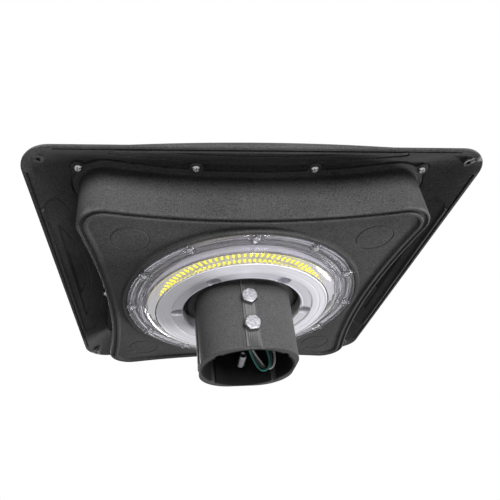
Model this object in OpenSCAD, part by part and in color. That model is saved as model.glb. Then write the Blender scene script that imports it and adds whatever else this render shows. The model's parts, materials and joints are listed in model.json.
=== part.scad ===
// Post top light: a square cast canopy over a driver housing, a round clear lens under
// the housing, and a slip fitter that drops over the top of a round pole.
// Origin: centre of the fitter's mouth. +Z is up, along the pole.

/* [Fitter] */
// Radius of the bore that goes over the pole
bore_r = 39.8; // [38:0.1:42]
// Length of the bore land at the mouth
bore_land = 6; // [5:0.5:8]
// Depth of the pole socket
socket_depth = 62; // [56:1:66]
// Half width of the tube across its flats
tube_half = 43.6; // [43:0.1:48]
// Corner radius of the tube
tube_corner_r = 32; // [26:1:38]
// Width of the raised strip on each side of the tube
strip_w = 12.6; // [11:0.2:18]
// How far the strip stands out of the tube
strip_t = 1.2; // [0.6:0.1:3]
// Height of the strip's lower end above the mouth
strip_z = 1.6; // [0:0.2:4]
// Thickness of the plate that closes the socket
ceiling_t = 4; // [3:0.5:6]
// Radius of the mounting flange on top of the tube
fitter_flange_r = 51; // [48:0.5:52]

/* [Clamp bolts] */
// Diameter of the clamp bolts
bolt_d = 8; // [6:1:10]
// Height of the lower pair above the mouth
bolt_low_z = 21.5; // [16:0.5:24]
// Height of the upper pair above the mouth
bolt_high_z = 47.5; // [44:0.5:50]
// Length of a bolt under its head
bolt_len = 27; // [25:1:35]
// Width of the hex head across its flats
bolt_af = 13; // [10:1:15]
// Height of the hex head
bolt_head_h = 5.3; // [4:0.1:7]

/* [Housing] */
// Distance from the axis to the middle of a side
side_mid = 126; // [118:1:130]
// Distance from the axis to the centre of a corner round
corner_c = 115; // [110:1:118]
// Radius of a corner round
corner_r = 22; // [18:1:26]
// Wall thickness
housing_wall = 3; // [2.5:0.5:4]
// Height of the flat underside above the fitter's mouth
face_z = 70; // [69:0.5:72]
// Height of the flange's underside above the fitter's mouth
flange_z = 110.2; // [106:0.2:112]
// Thickness of the screw flange
flange_t = 2.4; // [2:0.2:4]
// Width of the screw flange
flange_w = 5; // [4:0.5:6]
// Distance from the axis to the line of screws along a side
screw_line = 135.3; // [134:0.1:136]
// Distance of the two middle screws from the side's centre
screw_mid = 46.8; // [40:0.5:52]
// Radius of the ear round a flange screw
ear_r = 5; // [4.4:0.2:6]
// Distance of the four round pads from the axis, along X and Y
pad_c = 98.8; // [96:0.2:100]
// Radius of the round pads
pad_r = 15; // [12:0.5:16]

/* [Canopy] */
// Width of the square canopy
canopy_w = 342; // [330:1:360]
// Radius of the canopy's corners in plan
canopy_corner_r = 23.8; // [18:0.2:30]
// Height of the canopy's lower edge above the fitter's mouth
rim_z = 94; // [92:0.5:96]
// Wall thickness of the canopy
canopy_wall = 3.4; // [3:0.1:4]
// Height of the vertical edge round the canopy
rim_h = 2; // [1.5:0.1:3]
// Angle of the roof where it leaves the edge
eave_angle = 38; // [34:1:42]
// Rise of the arch over each side of the canopy
arch_rise = 4.4; // [3:0.1:6]
// Depth of each step in the stepped arches
arch_step = 2; // [1.5:0.1:2.6]

/* [Lens] */
// Outer radius of the lens
lens_r = 108; // [106:0.5:110]
// Thickness of the lens flange
lens_t = 2.4; // [2:0.1:3]
// Radius of the circle of lens screws
lens_screw_r = 103.3; // [102:0.1:104]
// Number of lens screws
lens_screws = 12; // [12]
// Outer radius of the domed part
dome_out_r = 94; // [93:0.5:95]
// Radius of the hole in the middle
dome_in_r = 56; // [54.5:0.5:57]
// Depth of the dome below the lens flange
dome_drop = 9; // [7:0.5:11]
// Number of screws round the hole
inner_screws = 6; // [6]
// Radius of the circle of screws round the hole
inner_screw_r = 61; // [60:0.2:62]

/* [Light engine] */
// Number of LEDs in each ring
led_count = 96; // [72:12:108]
// Radius of the outer ring of LEDs
led_out_r = 75.3; // [74:0.1:77]
// Radius of the inner ring of LEDs
led_in_r = 67.6; // [67:0.1:69]
// Thickness of the LED board
board_t = 1.4; // [1:0.1:2]

/* [Driver] */
// Length of the driver
driver_l = 150; // [120:5:170]
// Width of the driver
driver_w = 44; // [38:1:56]
// Height of the driver
driver_h = 30; // [24:1:32]

/* [Hidden] */
eps = 0.01;
$fn = 96;

paint = [0.25, 0.26, 0.26];
zinc = [0.78, 0.79, 0.8];
steel = [0.72, 0.73, 0.75];
rubber = [0.07, 0.07, 0.08];
white = [0.93, 0.93, 0.95];
clear = [0.85, 0.88, 0.95, 0.4];

// Housing outline: the side arcs are tangent to the corner rounds
bulge = corner_c + corner_r;
sag = bulge - side_mid;
arc_r = (corner_c * corner_c + pow(corner_c - side_mid, 2) - corner_r * corner_r) / (2 * sag);
tangent_t = corner_r / (corner_r + arc_r);
// The side arcs cut this far into the corner rounds, so that they cross and don't only touch
arc_bite = 0.05;
flange_top = flange_z + flange_t;
canopy_gasket_t = 0.6;
mate_z = flange_top + canopy_gasket_t;
screw_spots = [for (a = [0:90:270]) each [[a, -screw_mid], [a, screw_mid], [a, screw_line]]];
housing_screw_d = 4;
housing_screw_l = 8;

// Underside of the housing
groove_w = 3;
groove_in = 2.2;
groove_deep = 1.8;
bead_w = 3.6;
bead_drop = 2.4;
edge_z = face_z - 1.6;
platform_t = 5.4;
floor_t = 3.2;
ledge_in_r = lens_r + 0.5;
ledge_out_r = ledge_in_r + 4;
ledge_drop = 3.8;
recess_z = face_z + platform_t - 3;
bay_z = face_z + platform_t;
blind_z = bay_z - 0.6;
pad_groove = 0.5;
wire_hole_r = 12;

// Lens and light engine
lens_gasket_t = 0.8;
lens_gasket_w = 1.6;
lens_gasket_r = [lens_screw_r - 2.3, lens_r - 0.8];
lens_top = face_z - lens_gasket_t;
lens_bottom = lens_top - lens_t;
lens_wall = 1.6;
seat_z = face_z - 0.6;
dome_low = lens_bottom - dome_drop;
inner_top = recess_z - 1.2;
tab_r = 6.8;
board_top = recess_z;
board_z = board_top - board_t;
board_in_r = inner_screw_r + 4;
board_out_r = dome_out_r - 3;
recess_r = board_out_r + 1.4;
chip_w = 2.4;
chip_out_l = 4.4;
chip_in_l = 2.4;
chip_h = 0.7;
reflector_r = led_out_r + chip_out_l / 2 + 5.3;
board_screw_r = board_out_r - 5.5;
board_screw_d = 2.5;
lens_screw_d = 3;
inner_screw_d = 3;

// Fitter
fitter_gasket_t = 1;
flange_face = recess_z - fitter_gasket_t;
ceiling_z = socket_depth + ceiling_t;
relief = 0.4;
drain_w = 6;
drain_deep = 2.6;
fitter_screw_r = 24;
fitter_screw_d = 5;
bolt_clear = 0.05;
bolt_seat = tube_half + strip_t;

// Canopy
half_w = canopy_w / 2;
roof_r = half_w / sin(eave_angle);
roof_c = rim_h - roof_r * cos(eave_angle);
corner_reach = (half_w - canopy_corner_r) * sqrt(2) + canopy_corner_r;
hip_r = corner_reach / sin(eave_angle);
hip_c = rim_h - hip_r * cos(eave_angle);
rim_t = 2.2;
ridge_gap = 1.8;
ridge_t = 2;
ridge_in = half_w - rim_t - ridge_gap - ridge_t;
// Each arch in plan: half length, chord, apex, radius of its long arc and of its end rounds
arches = [[111, ridge_in - 0.2, 136, 331, 6], [78, 160.2, 147, 250, 1.5], [36, 159.6, 150.5, 80, 1.5]];
arch_skin = 2;
arch_tilt = 30;
arch_inner = 1.5;
lug_c = 157.5;
lug_w = 7.4;
lug_hole_r = 1.6;
land_z = mate_z - rim_z;
land_gap = 1.4;
land_in = 9;
cast_lap = 1;
screw_grip = housing_screw_l - flange_t - canopy_gasket_t + 0.4;

// Driver space
bracket_t = 1.5;
bracket_rise = 1.6;
foot_l = 14;
bracket_x = [-driver_l / 2 - 10, driver_l / 2 + 10];
driver_z = bay_z + bracket_rise + bracket_t;
driver_x = [-50, 50];
driver_screw_d = 3;
driver_grip = 4;
driver_y = 62;
surge_y = -66;
surge_l = 52;
surge_w = 34;
surge_h = 26;
strap_x = [-surge_w / 2 - 7, surge_w / 2 + 7];
terminal_l = 40;
terminal_w = 20;
terminal_h = 16;
terminal_cx = -62;
terminal_x = [terminal_cx - 14, terminal_cx + 14];
ground_x = 96.6;
ground_y = 25.9;

// Route of each supply wire: down from the gland, round a loop, and back up
wire_d = 2.2;
wire_top = 66;
white_route = [[3, 2, wire_top], [3, 2, 58], [4, 5, 48.9], [6, 11.5, 37.5], [9, 18.2, 28.6],
               [13, 22.9, 23.2], [17.1, 26.2, 18.6], [20.4, 28.4, 14.2], [23.8, 28.3, 11.5],
               [26.9, 27, 11], [29.4, 25, 12.7], [30.7, 23, 16.4], [31.1, 22.1, 21],
               [30.8, 21.6, 25.2], [29.8, 20.9, 29.6], [27.8, 19.4, 36], [25, 17.5, 43]];
black_route = [[-3, 2, wire_top], [-3, 2, 58], [-1.5, 4.9, 48.9], [2.5, 11.1, 36.6],
               [7, 17.1, 27], [10.4, 21.1, 22.4], [13.8, 24.2, 17.9], [17, 26.1, 13.3],
               [20.7, 26.3, 10.9], [23.9, 25.4, 10.8], [26.5, 23.8, 12.7], [27.5, 21.7, 16.1],
               [27.2, 19.8, 20], [26.4, 18.1, 23.4], [25.4, 16.7, 27.5], [23.4, 14.5, 34.9],
               [20.5, 12.5, 43]];
green_route = [[0, -3, wire_top], [0, -3, 58], [0.5, 0, 48.9], [2.8, 6.9, 36], [5.6, 13.8, 26],
               [8, 18.6, 21.6], [10.8, 23, 17.6], [13.7, 26.2, 13.3], [16.9, 26.7, 9.6],
               [20.3, 25.4, 8.3], [23.1, 23.3, 9.3], [24.8, 21.1, 12.4], [25, 19.4, 16.6],
               [24.2, 17.5, 20.8], [22.8, 15.5, 25.3], [20.4, 12.7, 32.9], [17, 10, 41.5]];
wire_starts = [white_route[0], black_route[0], green_route[0]];

// Plan shapes

// Housing outline moved out by off
module housing_shape(off = 0) {
    d = side_mid + arc_r;
    tx = corner_c * (1 - tangent_t);
    ty = corner_c + (d - corner_c) * tangent_t;
    k = (corner_r + off) / corner_r;
    px = corner_c + (tx - corner_c) * k;
    py = corner_c + (ty - corner_c) * k;
    difference() {
        union() {
            polygon([[-px, -py], [px, -py], [py, -px], [py, px], [px, py], [-px, py],
                     [-py, px], [-py, -px]]);
            for (x = [-1, 1], y = [-1, 1])
                translate([x * corner_c, y * corner_c]) circle(corner_r + off);
        }
        for (a = [0:90:270]) rotate(a) translate([0, -d]) circle(arc_r + arc_bite - off, $fn = 720);
    }
}

// A ring of the housing outline between two offsets
module housing_ring(outer, inner) {
    difference() {
        housing_shape(outer);
        housing_shape(inner);
    }
}

// Children at each of the twelve flange screws
module at_housing_screws() {
    for (s = screw_spots) rotate(s[0]) translate([s[1], -screw_line]) children();
}

// Screw flange of the housing in plan, moved out by off
module flange_shape(off = 0) {
    housing_shape(flange_w + off);
    at_housing_screws() {
        circle(ear_r + off, $fn = 48);
        translate([-ear_r - off, 0]) square([2 * (ear_r + off), 2 * ear_r]);
    }
}

module ring(outer, inner, h) {
    linear_extrude(h) difference() {
        circle(outer, $fn = 180);
        circle(inner, $fn = 180);
    }
}

module polar(count, radius, start = 0) {
    for (i = [0:count - 1]) rotate(start + i * 360 / count) translate([radius, 0, 0]) children();
}

// Canopy

module canopy_plan(off) {
    r = canopy_corner_r - off;
    c = half_w - canopy_corner_r;
    square([2 * c, 2 * (half_w - off)], center = true);
    square([2 * (half_w - off), 2 * c], center = true);
    for (x = [-c, c], y = [-c, c]) translate([x, y]) circle(r);
}

// A round roof that runs along X: its centre line is at height c
module barrel(r, c) {
    translate([0, 0, c]) rotate([0, 90, 0]) cylinder(r = r, h = 3 * half_w, center = true, $fn = 720);
}

// Four-sided dome over the square plan: off thins it and side sets its edge in
module roof_solid(off, side) {
    intersection() {
        translate([0, 0, -off]) linear_extrude(90) canopy_plan(side);
        barrel(roof_r - off, roof_c);
        rotate(90) barrel(roof_r - off, roof_c);
        rotate(45) barrel(hip_r - off, hip_c);
        rotate(-45) barrel(hip_r - off, hip_c);
    }
}

// One arch in plan, over the side that faces -Y: grow moves its arc and ends out, reach its chord
module arch_plan(i, grow = 0, reach = 0) {
    a = arches[i];
    half = a[0] + grow;
    chord = a[1] + reach;
    r = a[4];
    intersection() {
        union() {
            translate([-half + r, -chord]) square([2 * (half - r), chord]);
            translate([-half, -chord + r]) square([2 * half, chord - r]);
            for (x = [-half + r, half - r]) translate([x, -chord + r]) circle(r, $fn = 48);
        }
        translate([0, grow - a[2] - a[3]]) circle(a[3], $fn = 720);
    }
}

// A shallow vault over one side: it rises in the middle of the side and climbs with the eaves
module arch_vault(lift) {
    r = (pow(arches[0][0], 2) + pow(arch_rise, 2)) / (2 * arch_rise);
    translate([0, -half_w, rim_h + arch_rise + lift]) rotate([arch_tilt, 0, 0])
        translate([0, 20, -r]) rotate([90, 0, 0])
        cylinder(r = r, h = 160, center = true, $fn = 1440);
}

// The stepped arches over one side
module arch_tiers() {
    for (i = [0:2])
        intersection() {
            linear_extrude(60) arch_plan(i, arch_skin, i == 0 ? rim_t + ridge_gap + 1.4 : arch_skin);
            arch_vault(i * arch_step);
        }
}

// The same steps on the underside
module arch_recesses() {
    for (i = [0:2])
        intersection() {
            linear_extrude(60) arch_plan(i);
            barrel(roof_r - canopy_wall, roof_c + arch_inner + i * arch_step);
        }
}

module canopy() {
    color(paint) translate([0, 0, rim_z]) difference() {
        union() {
            difference() {
                union() {
                    roof_solid(0, 0);
                    for (a = [0:90:270]) rotate(a) arch_tiers();
                }
                roof_solid(canopy_wall, rim_t);
                for (a = [0:90:270]) rotate(a) {
                    arch_recesses();
                    eave_groove();
                }
                flange_pocket();
            }
            intersection() {
                union() {
                    canopy_land();
                    canopy_lugs();
                }
                roof_solid(cast_lap, cast_lap + 0.2);
            }
            for (a = [0:90:270]) rotate(a) eave_ridge();
        }
        translate([0, 0, land_z - 1]) at_housing_screws()
            cylinder(d = housing_screw_d, h = screw_grip + 1, $fn = 32);
        canopy_lug_holes();
    }
}

// Room in the roof for the corners of the housing's flange
module flange_pocket() {
    for (x = [-1, 1], y = [-1, 1]) translate([x * corner_c, y * corner_c, 0])
        cylinder(r = corner_r + flange_w + land_gap, h = land_z);
    at_housing_screws() cylinder(r = ear_r + land_gap, h = land_z, $fn = 48);
}

// The flat land that the gasket is pressed on
module canopy_land() {
    translate([0, 0, land_z]) linear_extrude(40) difference() {
        flange_shape(land_gap - 1);
        housing_shape(-land_in);
    }
}

// A groove and a low ridge inside the edge, along the foot of each arch
module eave_groove() {
    translate([-arches[0][0] + 4, -half_w + rim_t + 0.2, -1])
        cube([2 * arches[0][0] - 8, ridge_gap - 0.2, 3.4]);
}

module eave_ridge() {
    translate([-arches[0][0] + 6, -ridge_in - ridge_t - 0.1, 0.4])
        cube([2 * arches[0][0] - 12, ridge_t, 3.1]);
}

// A drilled lug in each corner
module canopy_lugs() {
    for (a = [45:90:315]) rotate(a) translate([lug_c * sqrt(2), 0, 1]) {
        cylinder(d = lug_w, h = 30, $fn = 48);
        translate([0, -lug_w / 2, 0]) cube([30, lug_w, 30]);
    }
}

module canopy_lug_holes() {
    for (a = [45:90:315]) rotate(a) translate([lug_c * sqrt(2), 0, 0.5])
        cylinder(r = lug_hole_r, h = 6.5, $fn = 32);
}

module canopy_gasket() {
    color(rubber) translate([0, 0, flange_top]) linear_extrude(canopy_gasket_t)
        housing_ring(flange_w - 1.2, -1.6);
}

// Housing

module housing() {
    color(paint) difference() {
        union() {
            difference() {
                union() {
                    translate([0, 0, edge_z]) linear_extrude(flange_top - edge_z) housing_shape();
                    translate([0, 0, flange_z]) linear_extrude(flange_t) flange_shape();
                }
                driver_bay();
                housing_underside();
            }
            housing_beads();
        }
        // screw holes of the flange
        translate([0, 0, flange_z - 1]) at_housing_screws()
            cylinder(d = housing_screw_d + 0.6, h = flange_t + 2, $fn = 32);
        // opening for the wires and the four fitter screws
        translate([0, 0, recess_z - 1]) {
            cylinder(r = wire_hole_r, h = 10, $fn = 64);
            polar(4, fitter_screw_r, 45) cylinder(d = fitter_screw_d + 0.5, h = 10, $fn = 32);
        }
        // threaded holes for the lens and the light engine
        translate([0, 0, face_z - 1]) polar(lens_screws, lens_screw_r, 30)
            cylinder(d = lens_screw_d, h = blind_z - face_z + 1, $fn = 32);
        translate([0, 0, recess_z - 1]) {
            polar(inner_screws, inner_screw_r)
                cylinder(d = inner_screw_d, h = blind_z - recess_z + 1, $fn = 32);
            polar(6, board_screw_r, 30)
                cylinder(d = board_screw_d, h = blind_z - recess_z + 1, $fn = 32);
        }
        bay_holes();
    }
}

// Room above the floor, with a round raised platform in the middle
module driver_bay() {
    translate([0, 0, face_z + floor_t]) difference() {
        linear_extrude(60) housing_shape(-housing_wall);
        cylinder(r = ledge_out_r, h = platform_t - floor_t, $fn = 180);
    }
}

// Grooved edge, and the recess for the light engine
module housing_underside() {
    translate([0, 0, edge_z - 1]) linear_extrude(1 + groove_deep)
        housing_ring(-groove_in, -groove_in - groove_w);
    translate([0, 0, edge_z - 1]) linear_extrude(1 + face_z - edge_z)
        housing_shape(-groove_in - groove_w);
    translate([0, 0, face_z - 1])
        cylinder(r = recess_r, h = 1 + recess_z - face_z, $fn = 180);
    // outline of the round pads
    for (x = [-1, 1], y = [-1, 1]) translate([x * pad_c, y * pad_c, face_z - 1])
        difference() {
            cylinder(r = pad_r + 0.5, h = 1 + pad_groove, $fn = 96);
            translate([0, 0, -1]) cylinder(r = pad_r - 0.5, h = 4, $fn = 96);
        }
}

// The raised bead inside the groove, and the ledge round the lens
module housing_beads() {
    translate([0, 0, face_z - bead_drop]) linear_extrude(bead_drop + eps)
        housing_ring(-groove_in - groove_w, -groove_in - groove_w - bead_w);
    translate([0, 0, face_z - ledge_drop]) ring(ledge_out_r, ledge_in_r, ledge_drop + eps);
}

// Threaded holes in the floor of the bay
module bay_holes() {
    translate([0, 0, face_z + 1.4]) {
        for (x = bracket_x) translate([x, driver_y, 0]) cylinder(d = 4, h = 20, $fn = 32);
        translate([ground_x, ground_y, 0]) cylinder(d = 4, h = 20, $fn = 32);
    }
    translate([0, 0, recess_z + 0.5]) {
        for (x = strap_x) translate([x, surge_y, 0]) cylinder(d = 3, h = 20, $fn = 32);
        for (x = terminal_x) translate([x, 0, 0]) cylinder(d = 3, h = 20, $fn = 32);
    }
}

// Pan head screw: head below z = 0, shank above
module pan_screw(d, len, head_d, head_h, drive = 0.9) {
    difference() {
        union() {
            cylinder(d = d - 0.3, h = len, $fn = 32);
            rotate_extrude($fn = 32) intersection() {
                translate([0, -head_h]) square([head_d / 2, head_h]);
                translate([0, head_d * 0.62 - head_h]) circle(head_d * 0.62, $fn = 64);
            }
        }
        translate([0, 0, -head_h - 1]) for (a = [0, 90]) rotate(a)
            translate([-head_d * 0.28, -drive / 2, 0]) cube([head_d * 0.56, drive, 1 + head_h * 0.5]);
    }
}

module housing_screws() {
    color(steel) translate([0, 0, flange_z]) at_housing_screws()
        pan_screw(housing_screw_d - 0.1, housing_screw_l, 6.8, 2.2);
}

// Fitter

// Tube outline, moved out by off
module tube_shape(off = 0) {
    h = tube_half + off;
    r = tube_corner_r + off;
    square([2 * h, 2 * (h - r)], center = true);
    square([2 * (h - r), 2 * h], center = true);
    for (x = [-1, 1], y = [-1, 1]) translate([x * (h - r), y * (h - r)]) circle(r);
}

module fitter() {
    color(paint) difference() {
        union() {
            linear_extrude(ceiling_z) tube_shape();
            translate([0, 0, ceiling_z - eps]) cylinder(r = fitter_flange_r, h = flange_face - ceiling_z + eps);
            for (a = [0:90:270]) rotate(a) translate([-strip_w / 2, -bolt_seat, strip_z])
                cube([strip_w, 20, ceiling_z - strip_z]);
        }
        translate([0, 0, -1]) cylinder(r = bore_r, h = bore_land + 1, $fn = 180);
        translate([0, 0, bore_land]) cylinder(r = bore_r + relief, h = socket_depth - bore_land, $fn = 180);
        for (a = [45:90:315]) rotate(a) translate([0, -drain_w / 2, -1])
            cube([bore_r + drain_deep, drain_w, socket_depth - 3]);
        translate([0, 0, socket_depth - 1]) cylinder(r = wire_hole_r - 2, h = 20, $fn = 64);
        translate([0, 0, socket_depth + 1]) polar(4, fitter_screw_r, 45)
            cylinder(d = fitter_screw_d, h = 20, $fn = 32);
        for (z = [bolt_low_z, bolt_high_z]) translate([0, 0, z]) rotate([90, 0, 0])
            cylinder(r = bolt_d / 2 + bolt_clear, h = 120, center = true, $fn = 64);
    }
}

module fitter_gasket() {
    color(rubber) translate([0, 0, flange_face]) difference() {
        cylinder(r = fitter_flange_r - 1, h = fitter_gasket_t);
        translate([0, 0, -1]) cylinder(r = wire_hole_r + 1, h = 4, $fn = 64);
        translate([0, 0, -1]) polar(4, fitter_screw_r, 45)
            cylinder(d = fitter_screw_d + 1, h = 4, $fn = 32);
    }
}

module fitter_screws() {
    color(steel) translate([0, 0, bay_z]) polar(4, fitter_screw_r, 45)
        rotate([180, 0, 0]) pan_screw(fitter_screw_d - 0.1, bay_z - socket_depth - 2.4, 9, 3.4, 1.2);
}

// Hex bolt that points along -Z, with its head's underside at z = 0
module hex_bolt(turn) {
    rotate([180, 0, 0]) {
        difference() {
            cylinder(d = bolt_d, h = bolt_len, $fn = 64);
            translate([0, 0, bolt_len - 1.6]) cylinder(d = bolt_d * 0.62, h = 3, $fn = 48);
        }
    }
    rotate(turn) intersection() {
        cylinder(d = bolt_af / cos(30), h = bolt_head_h, $fn = 6);
        rotate_extrude($fn = 64) polygon([[0, 0], [bolt_af, 0], [bolt_af, bolt_head_h * 0.5],
            [bolt_af * 0.47, bolt_head_h], [0, bolt_head_h]]);
    }
}

// A clamp bolt through the tube wall: side is 0 at the front, 180 at the back
module clamp_bolt(side, z, turn) {
    color(zinc) rotate(side) translate([0, -bolt_seat, z]) rotate([90, 0, 0]) hex_bolt(turn);
}

// Lens

// Half section of the clear lens, from the flange to the hole
module lens_section(off) {
    translate([0, dome_low]) polygon([
        [dome_in_r + off, 3 + off], [dome_in_r + 4, 1.4 + off], [dome_in_r + 13, off],
        [dome_out_r - 9, off],
        [dome_out_r - 7, 1.6 + off], [dome_out_r - 2.4 - off, 5 + off],
        [dome_out_r - off, 8 + off], [dome_out_r - off, 30], [dome_in_r + off, 30]]);
}

module lens() {
    color(clear) difference() {
        union() {
            // dome
            rotate_extrude($fn = 180) difference() {
                lens_section(0);
                lens_section(lens_wall);
                translate([0, lens_top]) square([200, 40]);
            }
            // flange, with two ribs under it
            translate([0, 0, lens_bottom]) ring(lens_r, dome_out_r - lens_wall, lens_t);
            translate([0, 0, lens_bottom - 0.7]) {
                ring(lens_r, lens_r - 1.2, 1);
                ring(dome_out_r + 3.4, dome_out_r + 2, 1);
            }
            translate([0, 0, lens_bottom - 1.2]) polar(lens_screws, lens_screw_r, 30)
                cylinder(r = 4.5, h = 2, $fn = 48);
            // inner wall, seat and screw pockets round the hole
            translate([0, 0, dome_low + 4]) ring(dome_in_r + lens_wall, dome_in_r, inner_top - dome_low - 4);
            translate([0, 0, inner_top - lens_t]) ring(board_in_r - 0.6, dome_in_r, lens_t);
            polar(inner_screws, inner_screw_r) translate([0, 0, dome_low + 1.8])
                intersection() {
                    cylinder(r = tab_r, h = inner_top - dome_low - 1.8, $fn = 48);
                    translate([-inner_screw_r, 0, 0]) cylinder(r = board_in_r - 1, h = 40, $fn = 180);
                }
        }
        translate([0, 0, lens_bottom - 4]) polar(lens_screws, lens_screw_r, 30) {
            cylinder(d = lens_screw_d + 0.4, h = 12, $fn = 32);
            cylinder(r = 3.2, h = 4, $fn = 48);
        }
        polar(inner_screws, inner_screw_r) {
            translate([0, 0, dome_low - 2]) cylinder(r = tab_r - 1.5, h = inner_top - lens_t - dome_low + 2, $fn = 48);
            translate([0, 0, dome_low]) cylinder(d = inner_screw_d + 0.4, h = 40, $fn = 32);
        }
        translate([0, 0, dome_low - 1]) cylinder(r = dome_in_r, h = 60);
    }
}

module lens_gasket() {
    color(rubber) translate([0, 0, lens_top]) {
        for (r = lens_gasket_r) ring(r, r - lens_gasket_w, lens_gasket_t);
    }
}

module lens_screws() {
    color(steel) translate([0, 0, lens_bottom]) polar(lens_screws, lens_screw_r, 30)
        pan_screw(lens_screw_d - 0.1, lens_t + 3.6, 5.6, 1.8, 0.8);
}

module inner_gasket() {
    color(rubber) translate([0, 0, inner_top]) difference() {
        ring(board_in_r - 0.8, dome_in_r + 0.4, recess_z - inner_top);
        translate([0, 0, -1]) polar(inner_screws, inner_screw_r)
            cylinder(d = inner_screw_d + 0.6, h = 4, $fn = 32);
    }
}

module inner_screws() {
    color(steel) translate([0, 0, inner_top - lens_t]) polar(inner_screws, inner_screw_r)
        pan_screw(inner_screw_d - 0.1, lens_t + 3.2, 5.4, 1.8, 0.8);
}

// Light engine

module led_board() {
    color(white) translate([0, 0, board_z]) difference() {
        ring(board_out_r, board_in_r, board_t);
        translate([0, 0, -1]) polar(6, board_screw_r, 30) cylinder(d = 3, h = 4, $fn = 32);
    }
}

module led_ring(radius, length) {
    color([0.98, 0.9, 0.2]) translate([0, 0, board_z - chip_h]) polar(led_count, radius)
        translate([-length / 2, -chip_w / 2, 0]) cube([length, chip_w, chip_h]);
}

module board_screws() {
    color(steel) translate([0, 0, board_z]) polar(6, board_screw_r, 30)
        pan_screw(2.4, board_t + 1.8, 4.6, 1.3, 0.7);
}

module reflector_outer() {
    r = reflector_r;
    color(white) rotate_extrude($fn = 180) polygon([
        [r - 2.4, board_z - 0.1], [r - 2.4, board_z - 1.8], [r - 0.6, board_z - 1.8],
        [r, board_z - 1], [r, board_z - 0.9], [r, board_z - 0.1]]);
}

module reflector_inner() {
    r = board_in_r - 0.3;
    color(white) rotate_extrude($fn = 180) polygon([
        [r, board_z - 4], [r + 0.8, board_z - 4], [r + 1.4, board_z - 0.1], [r + 0.2, board_z - 0.1]]);
}

// Wiring and driver bay

module cable_gland() {
    r = wire_hole_r - 2.05;
    color(rubber) difference() {
        union() {
            translate([0, 0, socket_depth - 3]) cylinder(r = r + 2.6, h = 3, $fn = 64);
            translate([0, 0, socket_depth - eps]) cylinder(r = r, h = bay_z + 4 - socket_depth, $fn = 64);
        }
        for (p = wire_starts) translate([p[0], p[1], 0])
            cylinder(d = wire_d + 0.5, h = wire_top + eps, $fn = 32);
    }
}

module gland_nut() {
    color(rubber) translate([0, 0, bay_z]) difference() {
        cylinder(r = wire_hole_r + 3, h = 3.6, $fn = 6);
        translate([0, 0, -1]) cylinder(r = wire_hole_r - 2.05, h = 6, $fn = 64);
    }
}

module driver() {
    color([0.62, 0.63, 0.65]) translate([0, driver_y, driver_z]) difference() {
        translate([-driver_l / 2, -driver_w / 2, 0]) cube([driver_l, driver_w, driver_h]);
        for (s = [-1, 1]) translate([s * (driver_l / 2), 0, driver_h / 2]) rotate([0, 90, 0])
            cylinder(d = 8, h = 4, center = true, $fn = 48);
        for (x = driver_x) translate([x, 0, -1])
            cylinder(d = driver_screw_d, h = 1 + driver_grip + 0.4, $fn = 32);
    }
}

// A folded plate under the driver, raised in the middle, with a foot at each end
module driver_bracket() {
    w = driver_w - 8;
    half = driver_l / 2 + 2;
    color([0.7, 0.71, 0.72]) translate([0, driver_y, bay_z]) difference() {
        union() {
            translate([-half, -w / 2, bracket_rise]) cube([2 * half, w, bracket_t]);
            for (x = [-half - foot_l, half - bracket_t]) translate([x, -w / 2, 0])
                cube([foot_l + bracket_t, w, bracket_t]);
            for (x = [-half, half - bracket_t]) translate([x, -w / 2, 0])
                cube([bracket_t, w, bracket_rise + bracket_t]);
        }
        for (x = bracket_x) translate([x, 0, -1]) cylinder(d = 4.4, h = 8, $fn = 32);
        for (x = driver_x) translate([x, 0, -1]) cylinder(d = driver_screw_d + 0.4, h = 8, $fn = 32);
    }
}

module driver_screws() {
    color(steel) for (x = driver_x) translate([x, driver_y, bay_z + bracket_rise])
        pan_screw(driver_screw_d - 0.1, bracket_t + driver_grip, 5.4, 1.3, 0.8);
}

module bracket_screws() {
    color(steel) for (x = bracket_x) translate([x, driver_y, bay_z + bracket_t])
        rotate([180, 0, 0]) pan_screw(3.9, 4.5, 7.4, 2.6, 1);
}

module surge_protector() {
    color([0.16, 0.2, 0.5]) translate([0, surge_y, bay_z])
        translate([-surge_w / 2, -surge_l / 2, 0]) cube([surge_w, surge_l, surge_h]);
}

module surge_strap() {
    t = 1.2;
    gap = 0.05;
    color([0.7, 0.71, 0.72]) translate([0, surge_y, bay_z]) difference() {
        union() {
            translate([-surge_w / 2 - t - gap, -7, 0]) cube([surge_w + 2 * t + 2 * gap, 14, surge_h + t + gap]);
            translate([-surge_w / 2 - 12, -7, 0]) cube([surge_w + 24, 14, t]);
        }
        translate([-surge_w / 2 - gap, -8, -1]) cube([surge_w + 2 * gap, 16, surge_h + 1 + gap]);
        for (x = strap_x) translate([x, 0, -1]) cylinder(d = 3.4, h = 4, $fn = 32);
    }
}

module strap_screws() {
    color(steel) for (x = strap_x) translate([x, surge_y, bay_z + 1.2])
        rotate([180, 0, 0]) pan_screw(2.9, 3.5, 5.6, 2, 0.9);
}

module terminal_block() {
    color(white) translate([terminal_cx, 0, bay_z]) difference() {
        translate([-terminal_l / 2, -terminal_w / 2, 0]) cube([terminal_l, terminal_w, terminal_h]);
        for (x = [-8, 0, 8]) translate([x, 0, 6]) {
            rotate([90, 0, 0]) cylinder(d = 4, h = 40, center = true, $fn = 32);
            translate([0, -5, 0]) cylinder(d = 4, h = 20, $fn = 32);
            translate([0, 5, 0]) cylinder(d = 4, h = 20, $fn = 32);
        }
        for (x = [-14, 14]) translate([x, 0, -1]) {
            cylinder(d = 3.4, h = 30, $fn = 32);
            translate([0, 0, 9]) cylinder(d = 6, h = 30, $fn = 32);
        }
    }
}

module terminal_screws() {
    color(steel) for (x = terminal_x) translate([x, 0, bay_z + 8])
        rotate([180, 0, 0]) pan_screw(2.9, 10, 5.4, 2, 0.9);
}

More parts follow.
